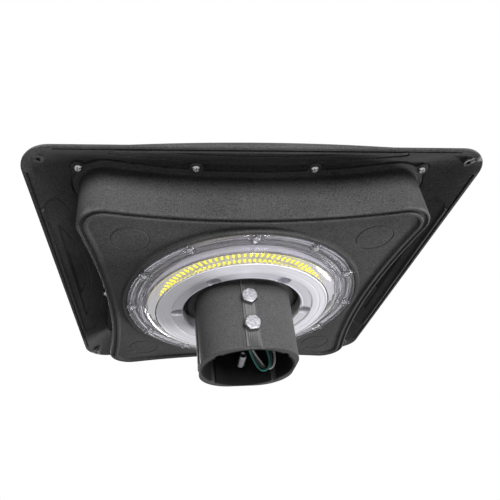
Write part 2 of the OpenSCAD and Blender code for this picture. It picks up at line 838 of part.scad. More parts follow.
module ground_screw() {
    color([0.2, 0.6, 0.3]) translate([ground_x, ground_y, bay_z])
        rotate([180, 0, 0]) pan_screw(3.9, 3.6, 7.6, 2.8, 1);
}

// Supply wires

// Smooth curve through the points of a route, with some steps between two points
function at(r, i) = r[max(0, min(len(r) - 1, i))];
function curve_point(r, i, t) =
    let (a = at(r, i - 1), b = at(r, i), c = at(r, i + 1), d = at(r, i + 2))
    0.5 * (2 * b + (c - a) * t + (2 * a - 5 * b + 4 * c - d) * t * t
           + (3 * b - a - 3 * c + d) * t * t * t);
function smooth(r, n) = [for (i = [0:len(r) - 2], k = [0:n - 1]) curve_point(r, i, k / n),
                         r[len(r) - 1]];
function unit(v) = v / norm(v);
function direction(p, i) =
    i == 0 ? [0, 0, -1] : unit(p[min(len(p) - 1, i + 1)] - p[i - 1]);

// Tube along a route, with its rings square to the path
module wire(route, d) {
    sides = 8;
    p = smooth(route, 3);
    n = len(p);
    points = [for (i = [0:n - 1])
        let (w = direction(p, i), u = unit(cross(w, [0.3, 1, 0.1])), v = cross(w, u))
        for (k = [0:sides - 1]) p[i] + d / 2 * (cos(k * 360 / sides) * u + sin(k * 360 / sides) * v)];
    side_faces = [for (i = [0:n - 2], k = [0:sides - 1])
        let (a = i * sides + k, b = i * sides + (k + 1) % sides)
        each [[a, b, b + sides], [a, b + sides, a + sides]]];
    polyhedron(points, concat([[for (k = [sides - 1:-1:0]) k]], side_faces,
        [[for (k = [0:sides - 1]) (n - 1) * sides + k]]), convexity = 6);
}

canopy();
canopy_gasket();
housing();
housing_screws();
fitter();
fitter_gasket();
fitter_screws();
clamp_bolt(0, bolt_low_z, 8);  // clamp_bolt_front_lower
clamp_bolt(0, bolt_high_z, 40);  // clamp_bolt_front_upper
clamp_bolt(180, bolt_low_z, 22);  // clamp_bolt_back_lower
clamp_bolt(180, bolt_high_z, 3);  // clamp_bolt_back_upper
lens();
lens_gasket();
lens_screws();
inner_gasket();
inner_screws();
led_board();
led_ring(led_out_r, chip_out_l);  // led_chips_outer
led_ring(led_in_r, chip_in_l);  // led_chips_inner
board_screws();
reflector_outer();
reflector_inner();
cable_gland();
gland_nut();
driver();
driver_bracket();
driver_screws();
bracket_screws();
surge_protector();
surge_strap();
strap_screws();
terminal_block();
terminal_screws();
ground_screw();
color("white") wire(white_route, wire_d);  // wire_white
color("black") wire(black_route, wire_d);  // wire_black
color("green") wire(green_route, wire_d);  // wire_green
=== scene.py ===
"""Looks for a square post top light: cast canopy, driver housing, ring lens and slip fitter.

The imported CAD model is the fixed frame. This script sets the camera, lays the supply wires,
builds the cast, moulded and turned pieces in the place of their solids, dresses every piece
with node materials, and adds the floor, the backdrop and the lamps. Sizes are in millimetres
until a mesh is made, and the frame is the CAD's own: +Z up the pole, -Y to the front.
"""

import json
import logging
import math
from collections.abc import Callable, Sequence
from dataclasses import dataclass, field
from enum import Enum

import bpy
import numpy as np
from mathutils import Matrix, Vector
from mathutils.geometry import delaunay_2d_cdt


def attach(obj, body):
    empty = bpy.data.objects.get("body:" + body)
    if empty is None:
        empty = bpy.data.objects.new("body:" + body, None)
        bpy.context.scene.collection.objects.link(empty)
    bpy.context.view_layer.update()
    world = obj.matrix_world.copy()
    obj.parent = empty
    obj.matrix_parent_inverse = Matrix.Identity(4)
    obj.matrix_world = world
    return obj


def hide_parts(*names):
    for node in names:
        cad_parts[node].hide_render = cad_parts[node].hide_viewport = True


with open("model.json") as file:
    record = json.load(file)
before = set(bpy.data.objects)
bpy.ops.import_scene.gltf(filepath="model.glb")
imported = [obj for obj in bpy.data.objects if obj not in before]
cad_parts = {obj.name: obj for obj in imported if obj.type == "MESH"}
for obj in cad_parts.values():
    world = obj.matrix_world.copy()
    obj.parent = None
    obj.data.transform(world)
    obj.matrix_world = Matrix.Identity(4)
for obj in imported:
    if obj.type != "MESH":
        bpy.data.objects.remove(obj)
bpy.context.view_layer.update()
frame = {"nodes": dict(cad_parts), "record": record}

log = logging.getLogger("post_top_light")

MM = 0.001
ROOT = "root"
QUARTERS = (0.0, 90.0, 180.0, 270.0)
CORNERS = ((-1, -1), (-1, 1), (1, -1), (1, 1))

Array = np.ndarray
Field = Callable[[Array, Array], Array]
Point = tuple[float, float, float]
Colour = tuple[float, float, float]
Section = Sequence[tuple[float, float]]
Socket = bpy.types.NodeSocket


def unit(degrees: float) -> tuple[float, float]:
    """Returns the cosine and the sine of an angle in degrees."""
    return math.cos(math.radians(degrees)), math.sin(math.radians(degrees))


def full_turn(count: int) -> Array:
    """Returns evenly spaced angles round a full turn, in radians."""
    return np.linspace(0, 2 * math.pi, count, endpoint=False)


def circle(
    angle: Array, radius: Array | float, z: Array | float, at: tuple[float, float] = (0.0, 0.0)
) -> Array:
    """Returns a point at each angle round the upright axis that stands at a place in plan."""
    height = np.broadcast_to(z, angle.shape)
    return np.stack([at[0] + radius * np.cos(angle), at[1] + radius * np.sin(angle), height], 1)


# Plan shapes


@dataclass(frozen=True)
class Region:
    """An area in plan, star-shaped about its centre.

    Attributes:
        distance: Distance from the edge in mm, negative inside.
        centre: A point that sees the whole edge.
    """

    distance: Field
    centre: tuple[float, float] = (0.0, 0.0)

    def contour(self, offset: float, spacing: float) -> Array:
        """Finds the line at an offset from the edge, by halving along rays from the centre.

        Args:
            offset: Distance outside the edge, in mm.
            spacing: Longest step between two points, in mm.

        Returns:
            The points of the closed line, anticlockwise, or none where the area is too small.
        """
        rays, halvings, reach, twist = 1440, 32, 260.0, 0.01
        cx, cy = self.centre
        if self.distance(np.array([cx]), np.array([cy]))[0] > offset:
            return np.zeros((0, 2))
        # each line starts a little further round, so that no row of points runs straight out
        angle = full_turn(rays) + twist * offset
        dx, dy = np.cos(angle), np.sin(angle)
        low, high = np.zeros(rays), np.full(rays, reach)
        for _ in range(halvings):
            middle = (low + high) / 2
            inside = self.distance(cx + middle * dx, cy + middle * dy) < offset
            low, high = np.where(inside, middle, low), np.where(inside, high, middle)
        return thinned(np.stack([cx + low * dx, cy + low * dy], 1), spacing)

    def moved(self, x: float, y: float) -> "Region":
        """Returns the same area moved by x and y."""
        return Region(
            lambda u, v: self.distance(u - x, v - y), (self.centre[0] + x, self.centre[1] + y)
        )

    def turned(self, degrees: float) -> "Region":
        """Turns the area about the origin.

        Args:
            degrees: How far, anticlockwise.

        Returns:
            The turned area.
        """
        c, s = unit(degrees)
        cx, cy = self.centre
        return Region(
            lambda u, v: self.distance(c * u + s * v, -s * u + c * v),
            (c * cx - s * cy, s * cx + c * cy),
        )

    def grown(self, by: float) -> "Region":
        """Returns the area with its edge moved out."""
        return Region(lambda u, v: self.distance(u, v) - by, self.centre)


def thinned(line: Array, spacing: float) -> Array:
    """Drops points from a closed line where it is nearly straight.

    Args:
        line: The points, close together.
        spacing: Longest step that is left, in mm.

    Returns:
        The kept points.
    """
    bend, shortest = math.radians(9), 0.3
    step = np.roll(line, -1, 0) - line
    length = np.hypot(step[:, 0], step[:, 1])
    heading = np.arctan2(step[:, 1], step[:, 0])
    turn = np.abs((heading - np.roll(heading, 1) + math.pi) % (2 * math.pi) - math.pi)
    keep, travelled, turned = [0], 0.0, 0.0
    for i in range(1, len(line)):
        travelled += length[i - 1]
        turned += turn[i]
        if travelled >= spacing or (turned >= bend and travelled > shortest):
            keep.append(i)
            travelled = turned = 0.0
    return line[keep]


def within(points: Array, loops: Sequence[Array]) -> Array:
    """Tells which points lie inside closed lines, where a line inside another bounds a hole.

    Args:
        points: The points in plan.
        loops: The lines, each by its points.

    Returns:
        True for each point that is inside.
    """
    x, y = points.T
    inside = np.zeros(len(points), bool)
    for loop in loops:
        for (ax, ay), (bx, by) in zip(loop.tolist(), np.roll(loop, -1, 0).tolist(), strict=True):
            if ay != by:
                inside ^= ((ay > y) != (by > y)) & (x < ax + (y - ay) * (bx - ax) / (by - ay))
    return inside


def disc(radius: float, x: float = 0.0, y: float = 0.0) -> Region:
    """Returns a round area about a point."""
    return Region(lambda u, v: np.hypot(u - x, v - y) - radius, (x, y))


def rounded_box(half_x: float, half_y: float, corner: float) -> Region:
    """Makes a rectangle about the origin with rounded corners.

    Args:
        half_x: Half its length along X, in mm.
        half_y: Half its length along Y.
        corner: Radius of its corners.

    Returns:
        The area.
    """

    def distance(u: Array, v: Array) -> Array:
        """Returns the distance from the rectangle's edge."""
        qx, qy = np.abs(u) - half_x + corner, np.abs(v) - half_y + corner
        outside = np.hypot(np.maximum(qx, 0), np.maximum(qy, 0))
        return outside + np.minimum(np.maximum(qx, qy), 0) - corner

    return Region(distance)


def soft_min(a: Array, b: Array, width: float) -> Array:
    """Returns the lower of two fields, with the crease between them rounded."""
    overlap = np.maximum(width - np.abs(a - b), 0) / width
    return np.minimum(a, b) - overlap * overlap * width / 4


def soft_max(a: Array, b: Array, width: float) -> Array:
    """Returns the higher of two fields, with the crease between them rounded."""
    return -soft_min(-a, -b, width)


# Cast and moulded shells

# width of the flat strip that is meshed beside every round, in mm
STRIP = 0.3


class Keep(Enum):
    """What a step does where the surface is already past its level."""

    LEVEL = "level"
    HIGHER = "higher"
    LOWER = "lower"


@dataclass(frozen=True)
class Step:
    """One raised or sunk area of a cast surface, with drafted walls and rounded edges.

    Attributes:
        region: The area in plan.
        level: Height inside it, in mm, as a number or a field.
        rise: The usual height of its wall, which shapes the rounds.
        inner: Radius of the round at the wall's inner end.
        outer: Radius of the round at its outer end.
        draft: How far the wall leans over its height, in mm.
        keep: What happens where the surface is past the level.
    """

    region: Region
    level: float | Field
    rise: float
    inner: float = 0.5
    outer: float = 0.5
    draft: float = 0.2
    keep: Keep = Keep.LEVEL

    def profile(self) -> tuple[Array, Array]:
        """Works out the section of the wall and its rounds.

        Returns:
            The offsets from the edge, rising, and the share of the level at each.
        """
        scale = min(1.0, self.rise / (self.inner + self.outer))
        inner, outer, half = self.inner * scale, self.outer * scale, self.draft / 2
        turn = np.radians([90.0, 60.0, 30.0, 0.0])
        back = turn[::-1]
        s_in, s_out = -half - inner * (1 - np.cos(turn)), half + outer * (1 - np.cos(back))
        t_in = 1 - inner * (1 - np.sin(turn)) / self.rise
        t_out = outer * (1 - np.sin(back)) / self.rise
        offsets = np.concatenate([[s_in[0] - STRIP], s_in, s_out, [s_out[-1] + STRIP]])
        shares = np.concatenate([[1.0], t_in, t_out, [0.0]])
        # no two offsets are the same, so that no two lines are
        return offsets + np.arange(len(offsets)) * 1e-4, shares

    def applied(self, z: Array, x: Array, y: Array) -> Array:
        """Cuts this step into a surface.

        Args:
            z: The heights before, in mm.
            x: Places along X.
            y: Places along Y.

        Returns:
            The heights after.
        """
        share = np.interp(self.region.distance(x, y), *self.profile())
        target = self.level(x, y) if callable(self.level) else np.full_like(z, self.level)
        if self.keep is Keep.HIGHER:
            target = np.maximum(target, z)
        elif self.keep is Keep.LOWER:
            target = np.minimum(target, z)
        return z + share * (target - z)


@dataclass
class Relief:
    """One side of a cast shell: a base height with steps cut into it, in order.

    Attributes:
        base: The base height, in mm, as a number or a field.
        steps: The steps.
        lift: How far all of it is raised.
    """

    base: float | Field
    steps: list[Step] = field(default_factory=list)
    lift: float = 0.0

    def heights(self, x: Array, y: Array) -> Array:
        """Returns the heights at x and y, in mm."""
        z = self.base(x, y) if callable(self.base) else np.full_like(x, self.base)
        for step in self.steps:
            z = step.applied(z, x, y)
        return z + self.lift

    def lines(self, spacing: float) -> list[Array]:
        """Returns the contour lines that the mesh has to follow."""
        found = [
            step.region.contour(float(offset), spacing)
            for step in self.steps for offset in step.profile()[0]
        ]
        return [line for line in found if len(line) > 3]


@dataclass
class CastShell:
    """A closed shell between two reliefs that share an outline.

    Attributes:
        outline: The outer edge in plan.
        lower: The underside.
        upper: The top side.
        hole: An area that is left out, or None.
        spacing: Longest step along a contour, in mm.
        fill: Distance between the points of the open areas, in mm.
        rim: Radius of the round along the outline and the hole.
    """

    outline: Region
    lower: Relief
    upper: Relief
    hole: Region | None = None
    spacing: float = 3.0
    fill: float = 9.0
    rim: float = 0.5

    def _gap(self, x: Array, y: Array) -> Array:
        """Returns the distance past the nearest edge, negative in the material."""
        gap = self.outline.distance(x, y)
        return gap if self.hole is None else np.maximum(gap, -self.hole.distance(x, y))

    def _rounding(self, x: Array, y: Array) -> Array:
        """Returns how far both sides come together towards the edges, in mm."""
        into = np.clip(self._gap(x, y) + self.rim, 0, self.rim)
        return self.rim - np.sqrt(np.maximum(self.rim**2 - into**2, 0))

    def _lines(self, relief: Relief) -> list[Array]:
        """Lists the lines within the shell that one side's mesh has to follow.

        Args:
            relief: The side's heights.

        Returns:
            The lines, each by its points.
        """
        lines = relief.lines(self.spacing)
        for share in (0.3, 0.65, 1.0):
            lines.append(self.outline.contour(-self.rim * share, self.spacing))
            if self.hole is not None:
                lines.append(self.hole.contour(self.rim * share, self.spacing))
        lines.append(self.outline.contour(-self.rim - STRIP, self.spacing))
        return lines

    def _side(self, relief: Relief, sign: int) -> tuple[Array, Array, list[list[int]]]:
        """Meshes one side.

        Args:
            relief: The side's heights.
            sign: -1 for the underside and 1 for the top.

        Returns:
            The points, the triangles, and the point numbers of each edge loop.
        """
        clear, merged = 0.04, 2e-3
        rims = [self.outline] if self.hole is None else [self.outline, self.hole]
        loops = [rim.contour(0.0, self.spacing) for rim in rims]
        points, edges, start = [], [], 0
        for k, line in enumerate([*loops, *self._lines(relief)]):
            kept = (self._gap(*line.T) < -clear) | (k < len(loops))
            number = start + np.cumsum(kept) - 1
            edges += [
                (int(number[i]), int(number[j]))
                for i, j in enumerate(np.roll(np.arange(len(line)), -1))
                if kept[i] and kept[j] and i != j
            ]
            points.append(line[kept])
            start += int(kept.sum())
        points.append(self._filling(np.concatenate(points)))
        flat = [Vector(p) for p in np.concatenate(points).tolist()]
        made = delaunay_2d_cdt(flat, edges, [], 0, merged, True)
        plan = np.array([tuple(v) for v in made[0]])
        triangles = np.array([f for f in made[2] if len(f) == 3])
        triangles = triangles[within(plan[triangles].mean(1), loops)]
        a, b, c = (plan[triangles[:, k]] for k in range(3))
        area = (b[:, 0] - a[:, 0]) * (c[:, 1] - a[:, 1]) - (b[:, 1] - a[:, 1]) * (c[:, 0] - a[:, 0])
        wrong = area * sign < 0
        triangles[wrong] = triangles[wrong][:, ::-1]
        z = relief.heights(*plan.T) - sign * self._rounding(*plan.T)
        place = {old: new for new, olds in enumerate(made[3]) for old in olds}
        numbers, start = [], 0
        for loop in loops:
            numbers.append([place[start + i] for i in range(len(loop))])
            start += len(loop)
        return np.column_stack([plan, z]), triangles, numbers

    def _filling(self, near: Array) -> Array:
        """Lays a grid of points over the open areas, away from other points.

        Args:
            near: The points that are there already.

        Returns:
            The points of the grid.
        """
        low, high = near.min(0), near.max(0)
        xs = np.arange(low[0], high[0], self.fill)
        ys = np.arange(low[1], high[1], self.fill * 0.866)
        grid = np.array([(x + (j % 2) * self.fill / 2, y) for j, y in enumerate(ys) for x in xs])
        cell = self.fill * 0.42
        shape = np.ceil((high - low) / cell).astype(int) + 4
        taken = np.zeros(shape, bool)
        at = ((near - low) / cell).astype(int) + 1
        for i in (-1, 0, 1):
            for j in (-1, 0, 1):
                taken[at[:, 0] + i, at[:, 1] + j] = True
        spot = np.clip(((grid - low) / cell).astype(int) + 1, 0, shape - 1)
        return grid[~taken[spot[:, 0], spot[:, 1]] & (self._gap(*grid.T) < -self.rim - 0.5)]

    def build(self, name: str) -> bpy.types.Object:
        """Makes the shell as one closed mesh.

        Args:
            name: The object's name.

        Returns:
            The object, with its points in the frame of the CAD.
        """
        low, low_faces, low_loops = self._side(self.lower, -1)
        high, high_faces, high_loops = self._side(self.upper, 1)
        faces = low_faces.tolist() + (high_faces + len(low)).tolist()
        for k, (a, b) in enumerate(zip(low_loops, high_loops, strict=True)):
            for i in range(len(a)):
                j = (i + 1) % len(a)
                quad = [a[i], a[j], b[j] + len(low), b[i] + len(low)]
                faces.append(quad if k == 0 else quad[::-1])
        return mesh_object(name, np.concatenate([low, high]), faces)


# Meshes


def linked(name: str, mesh: bpy.types.Mesh, weighted: bool) -> bpy.types.Object:
    """Puts a mesh in the scene, smooth shaded.

    Args:
        name: The object's name.
        mesh: The mesh.
        weighted: Whether large faces set the normals, as on flat cast surfaces.

    Returns:
        The new object.
    """
    mesh.polygons.foreach_set("use_smooth", [True] * len(mesh.polygons))
    made = bpy.data.objects.new(name, mesh)
    bpy.context.scene.collection.objects.link(made)
    if weighted:
        made.modifiers.new("face weights", "WEIGHTED_NORMAL").weight = 60
    return made


def mesh_object(
    name: str, points: Array, faces: Sequence[Sequence[int]], weighted: bool = True
) -> bpy.types.Object:
    """Makes an object from points and faces.

    Args:
        name: Its name.
        points: Its points, in mm.
        faces: The numbers of the points of each face.
        weighted: Whether large faces set the normals, as on flat cast surfaces.

    Returns:
        The new object.
    """
    mesh = bpy.data.meshes.new(name)
    mesh.from_pydata((np.asarray(points, float) * MM).tolist(), [], [list(f) for f in faces])
    mesh.validate()
    return linked(name, mesh, weighted)


@dataclass
class MeshPool:
    """Points and faces of a piece that is put together from several closed parts."""

    points: list[Array] = field(default_factory=list)
    faces: list[list[int]] = field(default_factory=list)
    count: int = 0

    def loft(self, rings: Sequence[Array], closed: bool = False) -> None:
        """Adds a skin over rings of equal count.

        Args:
            rings: The rings, each an array of points that runs anticlockwise about the way
                from the first ring to the last.
            closed: Whether the last ring joins the first, or else both ends are capped.
        """
        sides, ends = len(rings[0]), len(rings)
        for r in range(ends if closed else ends - 1):
            a, b = self.count + r * sides, self.count + (r + 1) % ends * sides
            for i in range(sides):
                j = (i + 1) % sides
                self.faces.append([a + i, a + j, b + j, b + i])
        if not closed:
            first = list(range(self.count, self.count + sides))
            self.faces += [first[::-1], [i + (ends - 1) * sides for i in first]]
        self.points += [np.asarray(ring, float) for ring in rings]
        self.count += ends * sides

    def made(self, name: str, weighted: bool = True) -> bpy.types.Object:
        """Returns the pool as one object."""
        return mesh_object(name, np.concatenate(self.points), self.faces, weighted)


# Node trees


class Sheet:
    """A node tree under construction, with short calls for its nodes and links."""

    def __init__(self, tree: bpy.types.NodeTree) -> None:
        """Takes the tree and empties it."""
        self.tree = tree
        tree.nodes.clear()

    def node(self, kind: str, **settings: object) -> bpy.types.Node:
        """Adds a node.

        Args:
            kind: Its type.
            settings: Its properties, by name.

        Returns:
            The node.
        """
        made = self.tree.nodes.new(kind)
        for key, value in settings.items():
            setattr(made, key, value)
        return made

    def put(self, slot: Socket, value: Socket | float | Colour) -> None:
        """Sets or links an input.

        Args:
            slot: The input.
            value: A number, a colour or the output to link.
        """
        if isinstance(value, Socket):
            self.tree.links.new(value, slot)
        else:
            slot.default_value = (*value, 1.0) if isinstance(value, tuple) else value

    def math(
        self, operation: str, first: Socket | float, second: Socket | float = 0.0
    ) -> Socket:
        """Adds a Math node.

        Args:
            operation: What it does.
            first: Its first value.
            second: Its second value.

        Returns:
            Its output.
        """
        made = self.node("ShaderNodeMath", operation=operation)
        self.put(made.inputs[0], first)
        self.put(made.inputs[1], second)
        return made.outputs[0]

    def mixed(self, first: Socket, share: float, second: Socket) -> Socket:
        """Returns the sum of two values, the first by its share and the second by the rest."""
        rest = self.math("MULTIPLY", second, round(1 - share, 6))
        return self.math("ADD", self.math("MULTIPLY", first, share), rest)

    def noise(self, vector: Socket, scale: Socket | float, detail: float = 3.0) -> Socket:
        """Adds a noise texture.

        Args:
            vector: The coordinates that it reads.
            scale: Its scale, per m.
            detail: How many octaves it has past the first.

        Returns:
            Its value, from about 0 to 1.
        """
        made = self.node("ShaderNodeTexNoise")
        for name, value in (
            ("Vector", vector), ("Scale", scale), ("Detail", detail), ("Roughness", 0.6)
        ):
            self.put(made.inputs[name], value)
        return made.outputs["Fac"]

    def spread(
        self, value: Socket, low: float, high: float, out_low: float = 0.0, out_high: float = 1.0
    ) -> Socket:
        """Maps a value from one range to another, clamped.

        Args:
            value: The value.
            low: Its low end.
            high: Its high end.
            out_low: What the low end becomes.
            out_high: What the high end becomes.

        Returns:
            The result.
        """
        made = self.node("ShaderNodeMapRange")
        for slot, given in zip(made.inputs, (value, low, high, out_low, out_high), strict=False):
            self.put(slot, given)
        return made.outputs["Result"]

    def blend(self, share: Socket, first: Socket | Colour, second: Socket | Colour) -> Socket:
        """Mixes two colours.

        Args:
            share: The share of the second one.
            first: The first colour.
            second: The second colour.

        Returns:
            The mixed colour.
        """
        made = self.node("ShaderNodeMix", data_type="RGBA")
        self.put(made.inputs["Factor"], share)
        self.put(made.inputs[6], first)
        self.put(made.inputs[7], second)
        return made.outputs[2]

    def scaled(self, vector: Socket, by: Socket | None = None) -> bpy.types.Node:
        """Adds a Vector Math node that multiplies a vector by another.

        Args:
            vector: The vector.
            by: The other, or None where it is set by hand.

        Returns:
            The node.
        """
        made = self.node("ShaderNodeVectorMath", operation="MULTIPLY")
        self.put(made.inputs[0], vector)
        if by is not None:
            self.put(made.inputs[1], by)
        return made


# Copies by Geometry Nodes


def ring_tree() -> bpy.types.NodeTree:
    """Builds the tree that sets copies of a mesh round the pole's axis.

    Returns:
        The tree, with the inputs Copies, Start and Finish.
    """
    tree = bpy.data.node_groups.new("Ring of copies", "GeometryNodeTree")
    for name, kind in (
        ("Geometry", "Geometry"), ("Copies", "Int"), ("Start", "Float"), ("Finish", "Material")
    ):
        tree.interface.new_socket(name, in_out="INPUT", socket_type="NodeSocket" + kind)
    tree.interface.new_socket("Geometry", in_out="OUTPUT", socket_type="NodeSocketGeometry")
    sheet = Sheet(tree)
    given = sheet.node("NodeGroupInput").outputs
    points, copies = sheet.node("GeometryNodePoints"), sheet.node("GeometryNodeInstanceOnPoints")
    index, angle = sheet.node("GeometryNodeInputIndex"), sheet.node("ShaderNodeCombineXYZ")
    real, finish = sheet.node("GeometryNodeRealizeInstances"), sheet.node("GeometryNodeSetMaterial")
    turn = sheet.math("MULTIPLY", index.outputs[0], 2 * math.pi)
    share = sheet.math("DIVIDE", turn, given["Copies"])
    for slot, value in (
        (points.inputs["Count"], given["Copies"]),
        (angle.inputs["Z"], sheet.math("ADD", share, given["Start"])),
        (copies.inputs["Points"], points.outputs[0]),
        (copies.inputs["Instance"], given["Geometry"]),
        (copies.inputs["Rotation"], angle.outputs[0]),
        (real.inputs[0], copies.outputs[0]),
        (finish.inputs["Geometry"], real.outputs[0]),
        (finish.inputs["Material"], given["Finish"]),
        (sheet.node("NodeGroupOutput").inputs[0], finish.outputs[0]),
    ):
        sheet.put(slot, value)
    return tree


@dataclass
class RingCopies:
    """Sets copies of one item round the pole's axis and turns them into a plain mesh."""

    tree: bpy.types.NodeTree

    def build(
        self, item: bpy.types.Object, copies: int, finish: bpy.types.Material, start: float = 0.0
    ) -> bpy.types.Object:
        """Makes the ring.

        Args:
            item: The item in the place of the first copy. It is used up.
            copies: How many there are in the full turn.
            finish: Their material.
            start: Angle of the first copy past the item's own place, in degrees.

        Returns:
            A plain mesh object with the item's name.
        """
        modifier = item.modifiers.new("ring", "NODES")
        modifier.node_group = self.tree
        values = {"Copies": copies, "Start": math.radians(start), "Finish": finish}
        for socket in self.tree.interface.items_tree:
            if socket.name in values:
                modifier[socket.identifier] = values[socket.name]
        graph = bpy.context.evaluated_depsgraph_get()
        mesh = bpy.data.meshes.new_from_object(item.evaluated_get(graph), depsgraph=graph)
        name = item.name
        bpy.data.objects.remove(item)
        return linked(name, mesh, True)


# Shader groups and finishes


class Skin(Enum):
    """The shader group that gives a finish its grain."""

    POWDER = "Powder grain"
    METAL = "Tool lines"
    MOULDED = "Moulded skin"


# painted light: this group paints a highlight on sharp edges and shade in creases
PAINTED_EDGE_LIGHT = "Painted edge highlights and crease shade"


class Group(Sheet):
    """A shader node group under construction, with a Vector input before its numbers."""

    def __init__(self, name: str, inputs: dict[str, float], *outputs: str) -> None:
        """Makes the group.

        Args:
            name: Its name.
            inputs: Its number inputs, with their usual values.
            outputs: Its number outputs.
        """
        super().__init__(bpy.data.node_groups.new(name, "ShaderNodeTree"))
        face = self.tree.interface
        face.new_socket("Vector", in_out="INPUT", socket_type="NodeSocketVector")
        for key, value in inputs.items():
            made = face.new_socket(key, in_out="INPUT", socket_type="NodeSocketFloat")
            made.default_value = value
        for key in outputs:
            face.new_socket(key, in_out="OUTPUT", socket_type="NodeSocketFloat")
        self.given = self.node("NodeGroupInput").outputs
        self.result = self.node("NodeGroupOutput").inputs


def powder_group() -> None:
    """Builds the orange peel of a baked powder coat: its grain and its slow change of shade."""
    group = Group(Skin.POWDER.value, {"Grain": 900.0, "Peel": 260.0}, "Height", "Tone")
    vector, grain, peel, *_ = group.given
    fine, peel = group.noise(vector, grain, 2.0), group.noise(vector, peel, 2.0)
    group.put(group.result["Height"], group.mixed(fine, 0.6, peel))
    tone = group.mixed(fine, 0.7, group.noise(vector, 14.0))
    group.put(group.result["Tone"], group.spread(tone, 0.32, 0.68))


def painted_edge_light_group() -> None:
    """Builds the masks of painted light: 1 on sharp edges for a painted highlight, and 1 in hollows
    for painted shade.
    """
    group = Group(PAINTED_EDGE_LIGHT, {}, "Highlight", "Corner")
    breakup = group.noise(group.given["Vector"], 130.0)
    wobble = group.math("MULTIPLY", group.math("SUBTRACT", breakup, 0.5), 0.05)
    sharp = group.node("ShaderNodeNewGeometry").outputs["Pointiness"]
    sharp = group.math("ADD", sharp, wobble)
    group.put(group.result["Highlight"], group.spread(sharp, 0.52, 0.59))
    group.put(group.result["Corner"], group.spread(sharp, 0.48, 0.42))


def metal_group() -> None:
    """Builds the fine lines that tools and plating leave on metal, and their change of gloss."""
    group = Group(Skin.METAL.value, {"Across": 1600.0, "Along": 60.0}, "Height", "Tone")
    vector, across, along, *_ = group.given
    scale = group.node("ShaderNodeCombineXYZ")
    for slot, value in zip(scale.inputs, (along, across, across), strict=True):
        group.put(slot, value)
    lines = group.noise(group.scaled(vector, scale.outputs[0]).outputs[0], 1.0)
    group.put(group.result["Height"], lines)
    tone = group.mixed(lines, 0.5, group.noise(vector, 420.0))
    group.put(group.result["Tone"], group.spread(tone, 0.35, 0.65))


def moulded_group() -> None:
    """Builds the faint flow and speckle of moulded plastic and rubber."""
    group = Group(Skin.MOULDED.value, {"Speckle": 700.0, "Flow": 30.0}, "Height", "Tone")
    vector, speckle, flow, *_ = group.given
    speckle, flow = group.noise(vector, speckle, 2.0), group.noise(vector, flow, 2.0)
    group.put(group.result["Height"], speckle)
    group.put(group.result["Tone"], group.spread(group.mixed(speckle, 0.4, flow), 0.35, 0.65))


class Surface(Sheet):
    """A material under construction, with a grain that is bumped into its shader."""

    def __init__(self, name: str, skin: Skin, scales: tuple[float, float], bump: float) -> None:
        """Starts the material.

        Args:
            name: Its name.
            skin: The group that gives its grain.
            scales: The two scales of the group, in its own order.
            bump: Height of the grain, in mm.
        """
        self.made = bpy.data.materials.new(name)
        self.made.use_nodes = True
        super().__init__(self.made.node_tree)
        self.shader = self.node("ShaderNodeBsdfPrincipled")
        self.put(self.node("ShaderNodeOutputMaterial").inputs["Surface"], self.shader.outputs[0])
        self.place = self.node("ShaderNodeTexCoord").outputs["Object"]
        self.grain = self.group(skin.value)
        self.put(self.grain.inputs[1], scales[0])
        self.put(self.grain.inputs[2], scales[1])
        relief = self.node("ShaderNodeBump")
        self.put(relief.inputs["Distance"], bump * MM)
        self.put(relief.inputs["Height"], self.grain.outputs["Height"])
        self.shade(Normal=relief.outputs[0])

    def group(self, name: str) -> bpy.types.Node:
        """Adds a shader group that reads the object's own coordinates, and returns its node."""
        made = self.node("ShaderNodeGroup", node_tree=bpy.data.node_groups[name])
        self.put(made.inputs["Vector"], self.place)
        return made

    def shade(self, **values: Socket | float | Colour) -> None:
        """Puts values in the shader's inputs, whose spaces are written as underscores."""
        for key, value in values.items():
            self.put(self.shader.inputs[key.replace("_", " ")], value)

    def radius(self) -> Socket:
        """Returns the distance from the pole's axis, in m."""
        flat = self.scaled(self.place)
        flat.inputs[1].default_value = (1.0, 1.0, 0.0)
        length = self.node("ShaderNodeVectorMath", operation="LENGTH")
        self.put(length.inputs[0], flat.outputs[0])
        return length.outputs["Value"]


